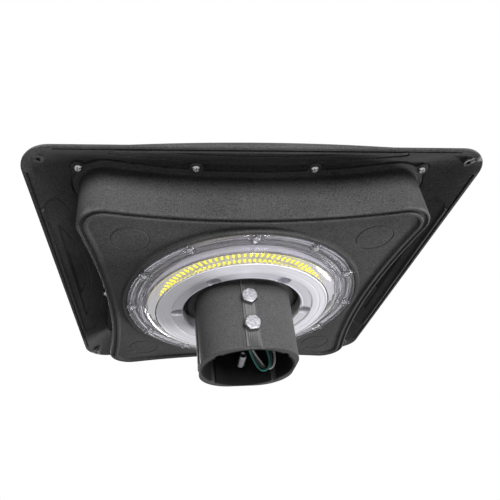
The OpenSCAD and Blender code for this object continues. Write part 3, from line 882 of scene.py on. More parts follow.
@dataclass(frozen=True)
class Finish:
    """An opaque finish.

    Attributes:
        name: The material's name.
        skin: The group that gives its grain.
        dark: Colour of its darker patches.
        light: Colour of its lighter patches.
        gloss: Lowest and highest roughness.
        bump: Height of the grain, in mm.
        scales: The two scales of the group, in its own order.
        edge: Colour of a painted highlight on sharp edges, which also brings painted shade into
            creases, or None.
        metallic: 1 for bare metal.
        coat: Weight of a clear top layer.
        specular: Strength of its plain reflection, 0.5 as usual.
        painted_glow: Strength of painted emission, which stands in for light that falls on the part;
            it is no lamp.
        bore: Radius round the pole's axis, in mm, inside which the colour is darkened as painted
            shade.
    """

    name: str
    skin: Skin
    dark: Colour
    light: Colour
    gloss: tuple[float, float]
    bump: float
    scales: tuple[float, float] = (900.0, 260.0)
    edge: Colour | None = None
    metallic: float = 0.0
    coat: float = 0.0
    specular: float = 0.5
    painted_glow: float = 0.0
    bore: float = 0.0

    def _shadow(self, share: float) -> Colour:
        """Returns a share of the dark colour, as painted shade."""
        return tuple(share * level for level in self.dark)

    def build(self) -> bpy.types.Material:
        """Makes the material.

        Returns:
            The material.
        """
        sheet = Surface(self.name, self.skin, self.scales, self.bump)
        tone = sheet.grain.outputs["Tone"]
        colour = sheet.blend(tone, self.dark, self.light)
        # painted highlight on sharp edges, then painted shade in creases and corners
        if self.edge is not None:
            edges = sheet.group(PAINTED_EDGE_LIGHT)
            colour = sheet.blend(edges.outputs["Highlight"], colour, self.edge)
            colour = sheet.blend(edges.outputs["Corner"], colour, self._shadow(0.3))
        # painted shade: the colour darkens inside the bore, where little light reaches
        if self.bore:
            outer, inner = (self.bore + 0.6) * MM, (self.bore + 0.1) * MM
            inside = sheet.spread(sheet.radius(), outer, inner)
            colour = sheet.blend(inside, colour, self._shadow(0.35))
        sheet.shade(
            Base_Color=colour, Roughness=sheet.spread(tone, 0.0, 1.0, *self.gloss),
            Metallic=self.metallic, Coat_Weight=self.coat, Specular_IOR_Level=self.specular,
        )
        # painted emission, which stands in for light that falls on the part
        if self.painted_glow:
            sheet.shade(Emission_Color=colour, Emission_Strength=self.painted_glow)
        return sheet.made


@dataclass(frozen=True)
class ClearFinish:
    """Polycarbonate with a faint moulded ripple, clear or milky."""

    name: str
    colour: Colour
    roughness: float
    clear: float
    bump: float = 0.01
    scales: tuple[float, float] = (240.0, 40.0)

    def build(self) -> bpy.types.Material:
        """Makes the material.

        Returns:
            The material.
        """
        sheet = Surface(self.name, Skin.MOULDED, self.scales, self.bump)
        sheet.shade(
            Base_Color=self.colour, Roughness=self.roughness, Transmission_Weight=self.clear
        )
        return sheet.made


def grey(level: float) -> Colour:
    """Returns a neutral colour."""
    return (level, level, level)


# A plain list of the finishes, by the record's material slot or by a name of their own
FINISHES: dict[str, Finish | ClearFinish] = {
    # the edge colours below are painted highlights, and they also bring painted shade into creases
    "painted": Finish("graphite powder coat", Skin.POWDER, grey(0.028), grey(0.112), (0.5, 0.66),
                      0.05, (1050.0, 600.0), edge=grey(0.28), specular=0.03),
    # the tube's coat paints shade into its bore
    "tube": Finish("powder coat of the tube with painted bore shade", Skin.POWDER, grey(0.045), grey(0.12), (0.5, 0.66),
                   0.03, (1050.0, 600.0), edge=grey(0.2), specular=0.05, bore=41.5),
    "zinc": Finish("bright zinc", Skin.METAL, (0.14, 0.14, 0.15), (0.5, 0.5, 0.53), (0.3, 0.5),
                   0.05, (700.0, 400.0), metallic=1.0),
    "steel": Finish("stainless steel", Skin.METAL, (0.4, 0.4, 0.41), (0.7, 0.7, 0.71),
                    (0.22, 0.36), 0.006, (1800.0, 200.0), metallic=1.0),
    "sheet": Finish("galvanised sheet", Skin.METAL, (0.5, 0.51, 0.53), (0.68, 0.69, 0.71),
                    (0.35, 0.55), 0.01, (500.0, 300.0), metallic=1.0),
    "case": Finish("satin driver case", Skin.METAL, (0.5, 0.51, 0.53), (0.64, 0.65, 0.67),
                   (0.3, 0.45), 0.01, (1500.0, 30.0), metallic=1.0),
    "copper": Finish("bare copper", Skin.METAL, (0.6, 0.25, 0.12), (0.8, 0.4, 0.22),
                     (0.25, 0.4), 0.01, (1800.0, 200.0), metallic=1.0),
    "green_screw": Finish("green ground screw", Skin.METAL, (0.03, 0.26, 0.08),
                          (0.05, 0.38, 0.13), (0.3, 0.45), 0.01, metallic=0.6),
    "seal": Finish("black silicone", Skin.MOULDED, (0.02, 0.02, 0.022), (0.035, 0.035, 0.038),
                   (0.5, 0.7), 0.02),
    "gland": Finish("black nylon", Skin.MOULDED, (0.025, 0.025, 0.026), (0.04, 0.04, 0.042),
                    (0.35, 0.5), 0.02),
    "blue_case": Finish("blue potted case", Skin.MOULDED, (0.05, 0.1, 0.33), (0.08, 0.14, 0.42),
                        (0.3, 0.45), 0.02),
    "terminal": Finish("ivory nylon", Skin.MOULDED, (0.76, 0.76, 0.72), (0.84, 0.84, 0.8),
                       (0.35, 0.5), 0.02),
    # the board, the reflector and the phosphor get painted emission in place of the light that falls
    # on them through the lens
    "white_board": Finish("white solder mask", Skin.MOULDED, (0.78, 0.77, 0.84),
                          (0.86, 0.85, 0.92), (0.3, 0.42), 0.01, painted_glow=0.1),
    "reflector": Finish("white reflector", Skin.MOULDED, (0.78, 0.77, 0.83), (0.86, 0.85, 0.9),
                        (0.25, 0.4), 0.01, painted_glow=0.1),
    "phosphor": Finish("yellow phosphor", Skin.MOULDED, (0.98, 0.82, 0.0), (1.0, 0.93, 0.0),
                       (0.35, 0.5), 0.01, specular=0.2, painted_glow=1.2),
    "wire_white": Finish("white insulation", Skin.MOULDED, (0.86, 0.86, 0.85),
                         (0.92, 0.92, 0.91), (0.28, 0.4), 0.01, coat=0.2),
    "wire_black": Finish("black insulation", Skin.MOULDED, (0.012, 0.012, 0.013),
                         (0.025, 0.025, 0.026), (0.25, 0.38), 0.01, coat=0.2),
    "wire_green": Finish("green insulation", Skin.MOULDED, (0.006, 0.15, 0.12),
                         (0.012, 0.24, 0.19), (0.28, 0.4), 0.01, coat=0.2),
    "clear": ClearFinish("clear polycarbonate", (0.95, 0.95, 0.97), 0.03, 1.0),
    "flange": ClearFinish("ribbed polycarbonate", (0.8, 0.79, 0.86), 0.02, 0.9),
    "lip": ClearFinish("clear polycarbonate lip", (0.88, 0.87, 0.95), 0.12, 0.2),
    "frosted": ClearFinish("frosted polycarbonate", (0.94, 0.93, 1.0), 0.16, 0.1),
}


@dataclass
class Palette:
    """The materials of the scene, by slot."""

    made: dict[str, bpy.types.Material] = field(default_factory=dict)

    def build(self) -> None:
        """Builds the shader groups and every finish."""
        for group in (powder_group, painted_edge_light_group, metal_group, moulded_group):
            group()
        self.made = {slot: finish.build() for slot, finish in FINISHES.items()}

    def dress(self, piece: bpy.types.Object, slot: str) -> None:
        """Gives a piece the finish of a slot."""
        piece.data.materials.clear()
        piece.data.materials.append(self.made[slot])

    def place(
        self, piece: bpy.types.Object, slot: str, body: str, *nodes: str, finish: str = ""
    ) -> bpy.types.Object:
        """Dresses a new piece, sets it on its body and in the place of its CAD nodes.

        Args:
            piece: The new piece.
            slot: Its material slot.
            body: The CAD body that it rides on.
            nodes: The CAD nodes that it stands for.
            finish: A finish of its own, where the slot's own doesn't fit.

        Returns:
            The piece.
        """
        self.dress(piece, finish or slot)
        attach(piece, body)
        if nodes:
            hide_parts(*nodes)
        log.info("%s: %d faces", piece.name, len(piece.data.polygons))
        return piece


# Camera


@dataclass(frozen=True)
class PhotoCamera:
    """The camera that took the photograph, matched to the light's own edges.

    Attributes:
        turn: Turn about the pole, in radians.
        lift: How far it looks up.
        roll: Turn about its own axis.
        focal_px: Focal length, in pixels of the photograph.
        offset: Place of the rim's centre before the camera, in units.
        middle: Pixel that the camera's axis meets.
        unit: Half the canopy's width, in m.
        plane: Height of the rim, in m.
        frame_px: Width of the photograph.
    """

    turn: float = 0.117255399
    lift: float = 0.560948817
    roll: float = -0.0806401948
    focal_px: float = 478.983828
    offset: Point = (0.133941825, -0.0125795417, 2.79320194)
    middle: tuple[float, float] = (215.172099, 282.524417)
    unit: float = 0.171
    plane: float = 0.094
    frame_px: float = 500.0

    def build(self) -> None:
        """Makes the camera and sets it as the scene's own."""
        ca, sa = math.cos(self.turn), math.sin(self.turn)
        ahead, right, above = np.array([sa, ca, 0]), np.array([ca, -sa, 0]), np.array([0, 0, 1])
        forward = math.cos(self.lift) * ahead + math.sin(self.lift) * above
        up = -math.sin(self.lift) * ahead + math.cos(self.lift) * above
        x = math.cos(self.roll) * right + math.sin(self.roll) * up
        y = -math.sin(self.roll) * right + math.cos(self.roll) * up
        axes = np.array([x, -y, forward])
        eye = -axes.T @ np.array(self.offset) * self.unit + np.array([0, 0, self.plane])
        lens = bpy.data.cameras.new("photo camera")
        lens.sensor_width = 36.0
        lens.lens = self.focal_px * lens.sensor_width / self.frame_px
        lens.shift_x = -(self.middle[0] - self.frame_px / 2) / self.frame_px
        lens.shift_y = (self.middle[1] - self.frame_px / 2) / self.frame_px
        lens.clip_start, lens.clip_end = 0.01, 50.0
        made = bpy.data.objects.new("photo camera", lens)
        rows = [[x[i], y[i], -forward[i], eye[i]] for i in range(3)]
        made.matrix_world = Matrix([*rows, [0, 0, 0, 1]])
        bpy.context.scene.collection.objects.link(made)
        bpy.context.scene.camera = made


# Supply wires


@dataclass(frozen=True)
class SupplyWire:
    """One supply wire: down from the gland, round a loop in the mouth and back up.

    Attributes:
        name: Its node and slot.
        length: Its real length along the route, in m. It is not used.
        route: The points that it follows, in mm, as in the CAD source.
        diameter: Of the insulation, in mm.
        bare: Length of the stripped end, in mm.
        strand_r: Radius of one of its seven strands.
    """

    name: str
    length: float
    route: tuple[Point, ...]
    diameter: float = 2.2
    bare: float = 6.0
    strand_r: float = 0.26

    def path(self, steps: int = 6) -> Array:
        """Draws the smooth path through the route's points.

        Args:
            steps: How many points each span of the route gets.

        Returns:
            The points of the path, in mm.
        """
        given = np.array(self.route)
        ends = np.concatenate([given[:1], given, given[-1:]])
        line = []
        for i in range(len(given) - 1):
            a, b, c, d = ends[i : i + 4]
            for t in np.arange(steps) / steps:
                square = (2 * a - 5 * b + 4 * c - d) * t**2
                line.append(0.5 * (2 * b + (c - a) * t + square + (3 * b - a - 3 * c + d) * t**3))
        return np.array([*line, given[-1]])

    def tube(self, path: Array, radii: Sequence[float], sides: int) -> list[Array]:
        """Sets rings of points square to a path, without twist.

        Args:
            path: The points of the path, in mm.
            radii: The radius at each of them.
            sides: How many points a ring has.

        Returns:
            The rings.
        """
        step = np.gradient(path, axis=0)
        step /= np.linalg.norm(step, axis=1)[:, None]
        side = np.cross(step[0], [0.3, 1.0, 0.1])
        angle = full_turn(sides)[:, None]
        rings = []
        for p, w, r in zip(path, step, radii, strict=True):
            side = side - w * side.dot(w)
            side /= np.linalg.norm(side)
            rings.append(p + r * (np.cos(angle) * side + np.sin(angle) * np.cross(w, side)))
        return rings

    def build(self, palette: Palette) -> None:
        """Args:
            palette: The finishes.
        """
        path = self.path()
        pool, strands = MeshPool(), MeshPool()
        pool.loft(self.tube(path, [self.diameter / 2] * len(path), 16))
        wire = palette.place(pool.made(self.name + "_lead", False), self.name, ROOT, self.name)
        way = path[-1] - path[-2]
        way /= np.linalg.norm(way)
        around = [(0.5 * math.cos(k * math.pi / 3), 0.5 * math.sin(k * math.pi / 3)) for k in range(6)]
        for x, y in (*around, (0.0, 0.0)):
            start = path[-1] + np.array([x, y, 0.0])
            line = np.array([start + way * s for s in np.linspace(-0.6, self.bare, 8)])
            strands.loft(self.tube(line, [self.strand_r] * 7 + [0.2], 8))
        end = palette.place(strands.made(self.name + "_strands", False), "copper", ROOT)


WIRES: tuple[SupplyWire, ...] = (
    SupplyWire("wire_white", 0.1078, (
        (3, 2, 66), (3, 2, 58), (4, 5, 48.9), (6, 11.5, 37.5), (9, 18.2, 28.6),
        (13, 22.9, 23.2), (17.1, 26.2, 18.6), (20.4, 28.4, 14.2), (23.8, 28.3, 11.5),
        (26.9, 27, 11), (29.4, 25, 12.7), (30.7, 23, 16.4), (31.1, 22.1, 21),
        (30.8, 21.6, 25.2), (29.8, 20.9, 29.6), (27.8, 19.4, 36), (25, 17.5, 43))),
    SupplyWire("wire_black", 0.1088, (
        (-3, 2, 66), (-3, 2, 58), (-1.5, 4.9, 48.9), (2.5, 11.1, 36.6), (7, 17.1, 27),
        (10.4, 21.1, 22.4), (13.8, 24.2, 17.9), (17, 26.1, 13.3), (20.7, 26.3, 10.9),
        (23.9, 25.4, 10.8), (26.5, 23.8, 12.7), (27.5, 21.7, 16.1), (27.2, 19.8, 20),
        (26.4, 18.1, 23.4), (25.4, 16.7, 27.5), (23.4, 14.5, 34.9), (20.5, 12.5, 43))),
    SupplyWire("wire_green", 0.1139, (
        (0, -3, 66), (0, -3, 58), (0.5, 0, 48.9), (2.8, 6.9, 36), (5.6, 13.8, 26),
        (8, 18.6, 21.6), (10.8, 23, 17.6), (13.7, 26.2, 13.3), (16.9, 26.7, 9.6),
        (20.3, 25.4, 8.3), (23.1, 23.3, 9.3), (24.8, 21.1, 12.4), (25, 19.4, 16.6),
        (24.2, 17.5, 20.8), (22.8, 15.5, 25.3), (20.4, 12.7, 32.9), (17, 10, 41.5))),
)


# Housing


@dataclass
class Housing:
    """The cast driver housing: drafted walls, grooved underside and eared flange.

    Attributes:
        side_mid: Distance of the middle of a side from the axis, in mm.
        corner_c: Place of a corner's centre along X and Y.
        corner_r: Radius of the corners.
        wall: Thickness of the walls.
        face_z: Height of the underside.
        edge_z: Height of its outer edge.
        groove_z: Height of the groove inside the edge.
        bead_z: Height of the bead inside the groove.
        flange_z: Height of the flange's underside.
        flange_top: Height of its top.
        flange_w: How far it stands out from the walls.
        screw_line: Distance of a row of flange screws from the axis.
        screw_mid: Distance of its inner screws from its middle.
        ear_r: Radius of the ear round a screw.
        floor_z: Height of the floor inside.
        bay_z: Height of the raised floor over the lens.
        recess_r: Radius of the recess over the lens.
        recess_z: Height of that recess.
        ledge: Outer and inner radius of the ring round the lens.
        ledge_z: Height of that ring's underside.
        pad_c: Place of a corner pad's centre along X and Y.
        pad_r: Radius of the fine groove round a pad.
        hole_r: Radius of the hole for the leads.
    """

    side_mid: float = 126.0
    corner_c: float = 115.0
    corner_r: float = 22.0
    wall: float = 3.0
    face_z: float = 70.0
    edge_z: float = 68.4
    groove_z: float = 70.2
    bead_z: float = 67.6
    flange_z: float = 110.2
    flange_top: float = 112.6
    flange_w: float = 5.0
    screw_line: float = 135.3
    screw_mid: float = 46.8
    ear_r: float = 5.0
    floor_z: float = 73.2
    bay_z: float = 75.4
    recess_r: float = 92.4
    recess_z: float = 72.4
    ledge: tuple[float, float] = (112.5, 108.5)
    ledge_z: float = 66.2
    pad_c: float = 98.8
    pad_r: float = 15.0
    hole_r: float = 12.0

    def shape(self) -> Region:
        """Draws the outline.

        Returns:
            The area inside four shallow hollow sides and round corners.
        """
        c, r = self.corner_c, self.corner_r
        sag = c + r - self.side_mid
        arc = (c * c + (c - self.side_mid) ** 2 - r * r) / (2 * sag)
        d = self.side_mid + arc
        share = r / (r + arc)
        tx, ty = c * (1 - share), c + (d - c) * share

        def distance(u: Array, v: Array) -> Array:
            """Returns the distance from the side's arc or the corner's."""
            a = np.maximum(np.abs(u), np.abs(v))
            b = np.minimum(np.abs(u), np.abs(v))
            side, corner = arc - np.hypot(b, d - a), np.hypot(a - c, b - c) - r
            return np.where(b * (d - ty) < tx * (d - a), side, corner)

        return Region(distance)

    def spots(self) -> list[tuple[float, float]]:
        """Places the twelve flange screws.

        Returns:
            The places, in plan.
        """
        y = -self.screw_line
        return [
            (c * x - s * y, s * x + c * y)
            for c, s in map(unit, QUARTERS)
            for x in (-self.screw_mid, self.screw_mid, self.screw_line)
        ]

    def flange(self) -> Region:
        """Draws the flange's outline, with an ear round each screw.

        Returns:
            The area.
        """
        body, spots = self.shape().grown(self.flange_w), self.spots()

        def distance(u: Array, v: Array) -> Array:
            """Returns the distance from the flange's edge."""
            near = body.distance(u, v)
            for x, y in spots:
                near = soft_min(near, np.hypot(u - x, v - y) - self.ear_r, 3.0)
            return near

        return Region(distance)

    def build(self, palette: Palette) -> None:
        """Builds the casting.

        Args:
            palette: The finishes.
        """
        shape = self.shape()
        pads = [
            Step(disc(self.pad_r + side * 0.45, x * self.pad_c, y * self.pad_c), level, 0.5,
                 inner, outer, 0.1)
            for side, level, inner, outer in (
                (1, self.face_z + 0.5, 0.2, 0.25), (-1, self.face_z, 0.25, 0.2)
            )
            for x, y in CORNERS
        ]
        lower = Relief(self.flange_z, [
            Step(shape, self.edge_z, 41.8, 1.5, 1.6, 0.5),
            Step(shape.grown(-2.6), self.groove_z, 1.8, 0.5, 0.6, 0.3),
            Step(shape.grown(-5.4), self.bead_z, 2.6, 0.9, 0.5, 0.3),
            Step(shape.grown(-8.6), self.face_z, 2.4, 0.8, 0.9, 0.3),
            *pads,
            Step(disc(self.ledge[0]), self.ledge_z, 3.8, 0.8, 0.8, 0.3),
            Step(disc(self.ledge[1]), self.face_z, 3.8, 0.3, 0.6, 0.2),
            Step(disc(self.recess_r), self.recess_z, 2.4, 0.4, 0.4, 0.2),
        ])
        upper = Relief(self.flange_top, [
            Step(shape.grown(-self.wall), self.floor_z, 39.4, 2.0, 0.5, 0.5),
            Step(disc(self.ledge[0]), self.bay_z, 2.2, 0.6, 0.8, 0.3),
        ])
        shell = CastShell(self.flange(), lower, upper, disc(self.hole_r), 2.6, 4.6, 0.5)
        palette.place(shell.build("housing_casting"), "painted", ROOT, "housing")


# Canopy


@dataclass(frozen=True)
class Arch:
    """One tier of the stepped arches, in plan, over the side that faces -Y.

    Attributes:
        half: Half its length, in mm.
        chord: Distance of its straight edge from the axis.
        apex: Distance of the top of its arc from the axis.
        radius: Radius of its arc.
        end: Radius of its corners.
    """

    half: float
    chord: float
    apex: float
    radius: float
    end: float

    def region(self, grow: float = 0.0, reach: float = 0.0) -> Region:
        """Returns the tier's area.

        Args:
            grow: How far its arc and ends are moved out, in mm.
            reach: How far its chord is moved out, in mm.

        Returns:
            The area, over the front side.
        """
        chord, apex = self.chord + reach, self.apex - grow
        block = rounded_box(self.half + grow, chord / 2, self.end).moved(0, -chord / 2)

        def distance(u: Array, v: Array) -> Array:
            """Returns the distance from the arc or the block, whichever is farther out."""
            arc = np.hypot(u, v + apex + self.radius) - self.radius
            return soft_max(block.distance(u, v), arc, 0.6)

        return Region(distance, (0.0, -(chord + apex) / 2))


@dataclass
class Canopy:
    """The square cast canopy: a low four-sided dome with three stepped arches on each side.

    Its heights are over the rim's plane.

    Attributes:
        half: Half its width, in mm.
        corner_r: Radius of its corners.
        rim_z: Height of the rim's plane.
        wall: Thickness of the dome.
        rim_h: Height of the upright edge.
        eave: Slope of the dome at the edge, in degrees.
        arches: The tiers of an arch, from the outside.
        rise: Height of the arches over their ends.
        step: Height from tier to tier.
        tilt: Slope of the arches, in degrees.
        inner_lift: Depth of the outer tier in the underside.
        groove_half: Half the length of the groove beside the edge.
        groove_in: Distance of that groove from the edge.
        ridge_half: Half the length of the ridge beside the groove.
        ridge_in: Distance of that ridge from the edge.
        land_z: Height of the land that the housing seats on.
        lug_c: Place of a corner lug's centre along X and Y.
        lug_w: Width of a lug.
        lug_z: Height of its face.
        lug_hole_r: Radius of the hole in it.
    """

    half: float = 171.0
    corner_r: float = 23.8
    rim_z: float = 94.0
    wall: float = 3.4
    rim_h: float = 2.0
    eave: float = 38.0
    arches: tuple[Arch, ...] = (
        Arch(111, 164.8, 136, 331, 6), Arch(78, 160.2, 147, 250, 1.5), Arch(36, 159.6, 150.5, 80, 1.5)
    )
    rise: float = 4.4
    step: float = 2.0
    tilt: float = 30.0
    inner_lift: float = 1.5
    groove_half: float = 146.0
    groove_in: float = 3.2
    ridge_half: float = 105.0
    ridge_in: float = 4.9
    land_z: float = 19.2
    lug_c: float = 157.5
    lug_w: float = 7.4
    lug_z: float = 1.0
    lug_hole_r: float = 1.6

    def roof(self, off: float, crease: float = 5.0) -> Field:
        """Shapes the dome.

        Args:
            off: How far the dome is moved inwards, in mm.
            crease: Width of the rounding of its ridges.

        Returns:
            The dome's height in plan.
        """
        cosine, sine = unit(self.eave)
        reach = (self.half - self.corner_r) * math.sqrt(2) + self.corner_r
        side, hip = self.half / sine, reach / sine

        def height(u: Array, v: Array) -> Array:
            """Returns the lowest of the four cylinders over the sides and the hips."""
            z = np.full_like(u, np.inf)
            for across, r in (
                (u, side), (v, side), ((u + v) / math.sqrt(2), hip), ((u - v) / math.sqrt(2), hip)
            ):
                one = np.sqrt(np.maximum((r - off) ** 2 - across * across, 1.0))
                one = self.rim_h - r * cosine + one
                z = one if np.isinf(z).all() else soft_min(z, one, crease)
            return z

        return height

    def vault(self, lift: float, quarter: float) -> Field:
        """Shapes the shallow vault over one side.

        Args:
            lift: How far it is raised, in mm.
            quarter: The turn of its side, in degrees.

        Returns:
            The vault's height in plan.
        """
        radius = (self.arches[0].half ** 2 + self.rise**2) / (2 * self.rise)
        slope, cosine = math.tan(math.radians(self.tilt)), math.cos(math.radians(self.tilt))
        c, s = unit(quarter)

        def height(u: Array, v: Array) -> Array:
            """Returns the tilted cylinder's height."""
            x, y = c * u + s * v, -s * u + c * v
            sagged = np.sqrt(np.maximum(radius**2 - x * x, 1.0)) - radius
            return self.rim_h + self.rise + lift + slope * (y + self.half) + sagged / cosine

        return height

    def recess(self, tier: int, quarter: float) -> Field:
        """Shapes the floor of a sunk arch on the underside.

        Args:
            tier: Which tier it is, from the outside.
            quarter: The turn of its side, in degrees.

        Returns:
            The floor's height in plan.
        """
        cosine, sine = unit(self.eave)
        radius = self.half / sine
        centre = self.rim_h - radius * cosine + self.inner_lift + tier * self.step
        c, s = unit(quarter)

        def height(u: Array, v: Array) -> Array:
            """Returns the cylinder's height."""
            y = -s * u + c * v
            return centre + np.sqrt(np.maximum((radius - self.wall) ** 2 - y * y, 1.0))

        return height

    def _sides(self, top: Relief, under: Relief) -> None:
        """Adds the arches of the four sides, and the groove and the ridge inside the rim.

        Args:
            top: The top side.
            under: The underside.
        """
        for q in QUARTERS:
            for tier, arch in enumerate(self.arches):
                outer = arch.region(2.0, 5.0 if tier == 0 else 2.0).turned(q)
                vault = self.vault(tier * self.step, q)
                top.steps.append(Step(outer, vault, 2.0, 0.7, 0.7, 0.2, Keep.HIGHER))
                inner, floor = arch.region().turned(q), self.recess(tier, q)
                under.steps.append(Step(inner, floor, 2.0, 0.7, 0.6, 0.2, Keep.HIGHER))
            groove = rounded_box(self.groove_half, 0.8, 0.3).moved(0, self.groove_in - self.half)
            ridge = rounded_box(self.ridge_half, 1.0, 0.4).moved(0, self.ridge_in - self.half)
            under.steps.append(Step(groove.turned(q), 2.4, 2.4, 0.3, 0.3, 0.1, Keep.HIGHER))
            under.steps.append(Step(ridge.turned(q), 0.4, 3.0, 0.5, 0.3, 0.1, Keep.LOWER))

    def _land(self, under: Relief, housing: Housing) -> None:
        """Adds the room over the housing's corners and ears, and the land that it seats on.

        Args:
            under: The underside.
            housing: The housing under it.
        """
        pockets = [
            disc(housing.corner_r + 6.4, x * housing.corner_c, y * housing.corner_c)
            for x, y in CORNERS
        ]
        ears = [disc(housing.ear_r + 1.4, x, y) for x, y in housing.spots()]
        for room in (*pockets, *ears):
            under.steps.append(Step(room, self.land_z, 8.0, 0.8, 1.0, 0.4, Keep.HIGHER))
        land, dome = housing.flange().grown(0.4), housing.shape().grown(-9.0)
        under.steps.append(Step(land, self.land_z, 8.0, 0.4, 0.8, 0.4, Keep.LOWER))
        under.steps.append(Step(dome, self.roof(self.wall), 12.0, 1.5, 1.0, 0.6))

    def _lugs(self, under: Relief) -> None:
        """Adds the drilled lug in each corner, with its rib towards the corner.

        Args:
            under: The underside.
        """
        out = self.lug_c * math.sqrt(2) + self.lug_w / 2
        for x, y in CORNERS:
            rib = rounded_box(self.lug_w, self.lug_w * 0.36, 2.0).moved(out, 0)
            rib = rib.turned(math.degrees(math.atan2(y, x)))
            post = disc(self.lug_w / 2, x * self.lug_c, y * self.lug_c)
            hole = disc(self.lug_hole_r, x * self.lug_c, y * self.lug_c)
            under.steps += [
                Step(rib, self.lug_z, 10.0, 0.5, 1.0, 0.4, Keep.LOWER),
                Step(post, self.lug_z, 10.0, 0.5, 1.2, 0.4, Keep.LOWER),
                Step(hole, self.lug_z + 6.0, 6.0, 0.3, 0.3, 0.1, Keep.HIGHER),
            ]

    def build(self, palette: Palette, housing: Housing) -> None:
        """Builds the casting.

        Args:
            palette: The finishes.
            housing: The housing whose flange it is screwed to.
        """
        roof, ceiling = self.roof(0.0), self.roof(self.wall)
        top = Relief(roof, lift=self.rim_z)
        under = Relief(lambda u, v: np.maximum(ceiling(u, v), 0.0), lift=self.rim_z)
        self._sides(top, under)
        self._land(under, housing)
        self._lugs(under)
        outline = rounded_box(self.half, self.half, self.corner_r)
        shell = CastShell(outline, under, top, None, 3.0, 5.0, 0.6)
        palette.place(shell.build("canopy_casting"), "painted", ROOT, "canopy")


# Slip fitter


@dataclass
class Fitter:
    """The slip fitter: a square-round tube with a strip on each side, and its flange.

    Attributes:
        half: Half the width of the tube, in mm.
        corner_r: Radius of its corners.
        strip_half: Half the width of a strip.
        strip_t: Thickness of a strip.
        strip_z: Height of the strips' lower ends.
        bore_r: Radius of the bore.
        socket: Depth of the bore.
        drain_deep: Depth of a drain groove.
        drain_w: Width of a drain groove.
        drain_r: Radius of its corners.
        flange_r: Radius of the flange.
        hole_r: Radius of the hole for the gland.
        tube_top: Height of the flange's underside.
        top: Height of its top.
        bolt_z: Heights of the clamp bolts.
        bolt_r: Radius of their holes.
    """

    half: float = 43.6
    corner_r: float = 32.0
    strip_half: float = 6.3
    strip_t: float = 1.2
    strip_z: float = 1.6
    bore_r: float = 39.8
    socket: float = 62.0
    drain_deep: float = 2.6
    drain_w: float = 6.0
    drain_r: float = 0.8
    flange_r: float = 51.0
    hole_r: float = 9.9
    tube_top: float = 66.0
    top: float = 71.4
    bolt_z: tuple[float, float] = (21.5, 47.5)
    bolt_r: float = 4.05

    def bore(self) -> Region:
        """Draws the bore with its four drain grooves.

        Returns:
            The area.
        """
        slot = rounded_box(self.bore_r + self.drain_deep, self.drain_w / 2, self.drain_r)

        def distance(u: Array, v: Array) -> Array:
            """Returns the distance from the bore's edge."""
            near = np.hypot(u, v) - self.bore_r
            a, b = (u + v) / math.sqrt(2), (u - v) / math.sqrt(2)
            for along, across in ((a, b), (b, a)):
                near = soft_min(near, slot.distance(along, across), self.drain_r)
            return near

        return Region(distance)

    def _outside(self, tube: Region) -> Region:
        """Adds the strips, and the fine notches beside them, to the tube's outline.

        Args:
            tube: The plain outline.

        Returns:
            The full outline.
        """
        strip = rounded_box(self.strip_half, self.half + self.strip_t, 0.4)
        notch = rounded_box(0.4, 0.7, 0.3)

        def distance(u: Array, v: Array) -> Array:
            """Returns the distance from the outline."""
            near = tube.distance(u, v)
            for a, b in ((u, v), (v, u)):
                near = soft_min(near, strip.distance(a, b), 0.5)
            for a, b in ((u, v), (v, u)):
                x, y = np.abs(a) - self.strip_half - 0.75, np.abs(b) - self.half
                near = np.maximum(near, -notch.distance(x, y))
            return near

        return Region(distance)

    def build(self, palette: Palette) -> None:
        """Builds the casting with its bolt holes.

        Args:
            palette: The finishes.
        """
        tube = rounded_box(self.half, self.half, self.corner_r)
        lower = Relief(self.tube_top, [
            Step(self._outside(tube), self.strip_z, 64.4, 0.5, 1.0, 0.3),
            Step(tube, 0.0, 1.6, 0.7, 0.2, 0.1),
            Step(self.bore(), self.socket, 62.0, 0.6, 0.6, 0.5),
        ])
        edge, hole = disc(self.flange_r), disc(self.hole_r)
        casting = CastShell(edge, lower, Relief(self.top), hole, 1.6, 6.0).build("fitter_casting")
        self._drill(casting)
        # the tube's finish paints shade into the bore
        palette.place(casting, "painted", ROOT, "fitter", finish="tube")

    def _drill(self, casting: bpy.types.Object) -> None:
        """Cuts the clamp bolts' holes through the front and back walls.

        Args:
            casting: The casting, whose mesh is replaced.
        """
        weights = casting.modifiers["face weights"]
        weights.show_viewport = False
        across = circle(full_turn(48), self.bolt_r, 0.0)
        for z in self.bolt_z:
            pool = MeshPool()
            pool.loft([across[:, (0, 2, 1)] + (0.0, y, z) for y in (60.0, -60.0)])
            cutter = pool.made("drill", False)
            cut = casting.modifiers.new("hole", "BOOLEAN")
            cut.operation, cut.object, cut.solver = "DIFFERENCE", cutter, "EXACT"
            graph = bpy.context.evaluated_depsgraph_get()
            mesh = bpy.data.meshes.new_from_object(casting.evaluated_get(graph), depsgraph=graph)
            casting.modifiers.remove(cut)
            casting.data = mesh
            bpy.data.objects.remove(cutter)
        weights.show_viewport = True
        casting.data.polygons.foreach_set("use_smooth", [True] * len(casting.data.polygons))


# Clamp bolts


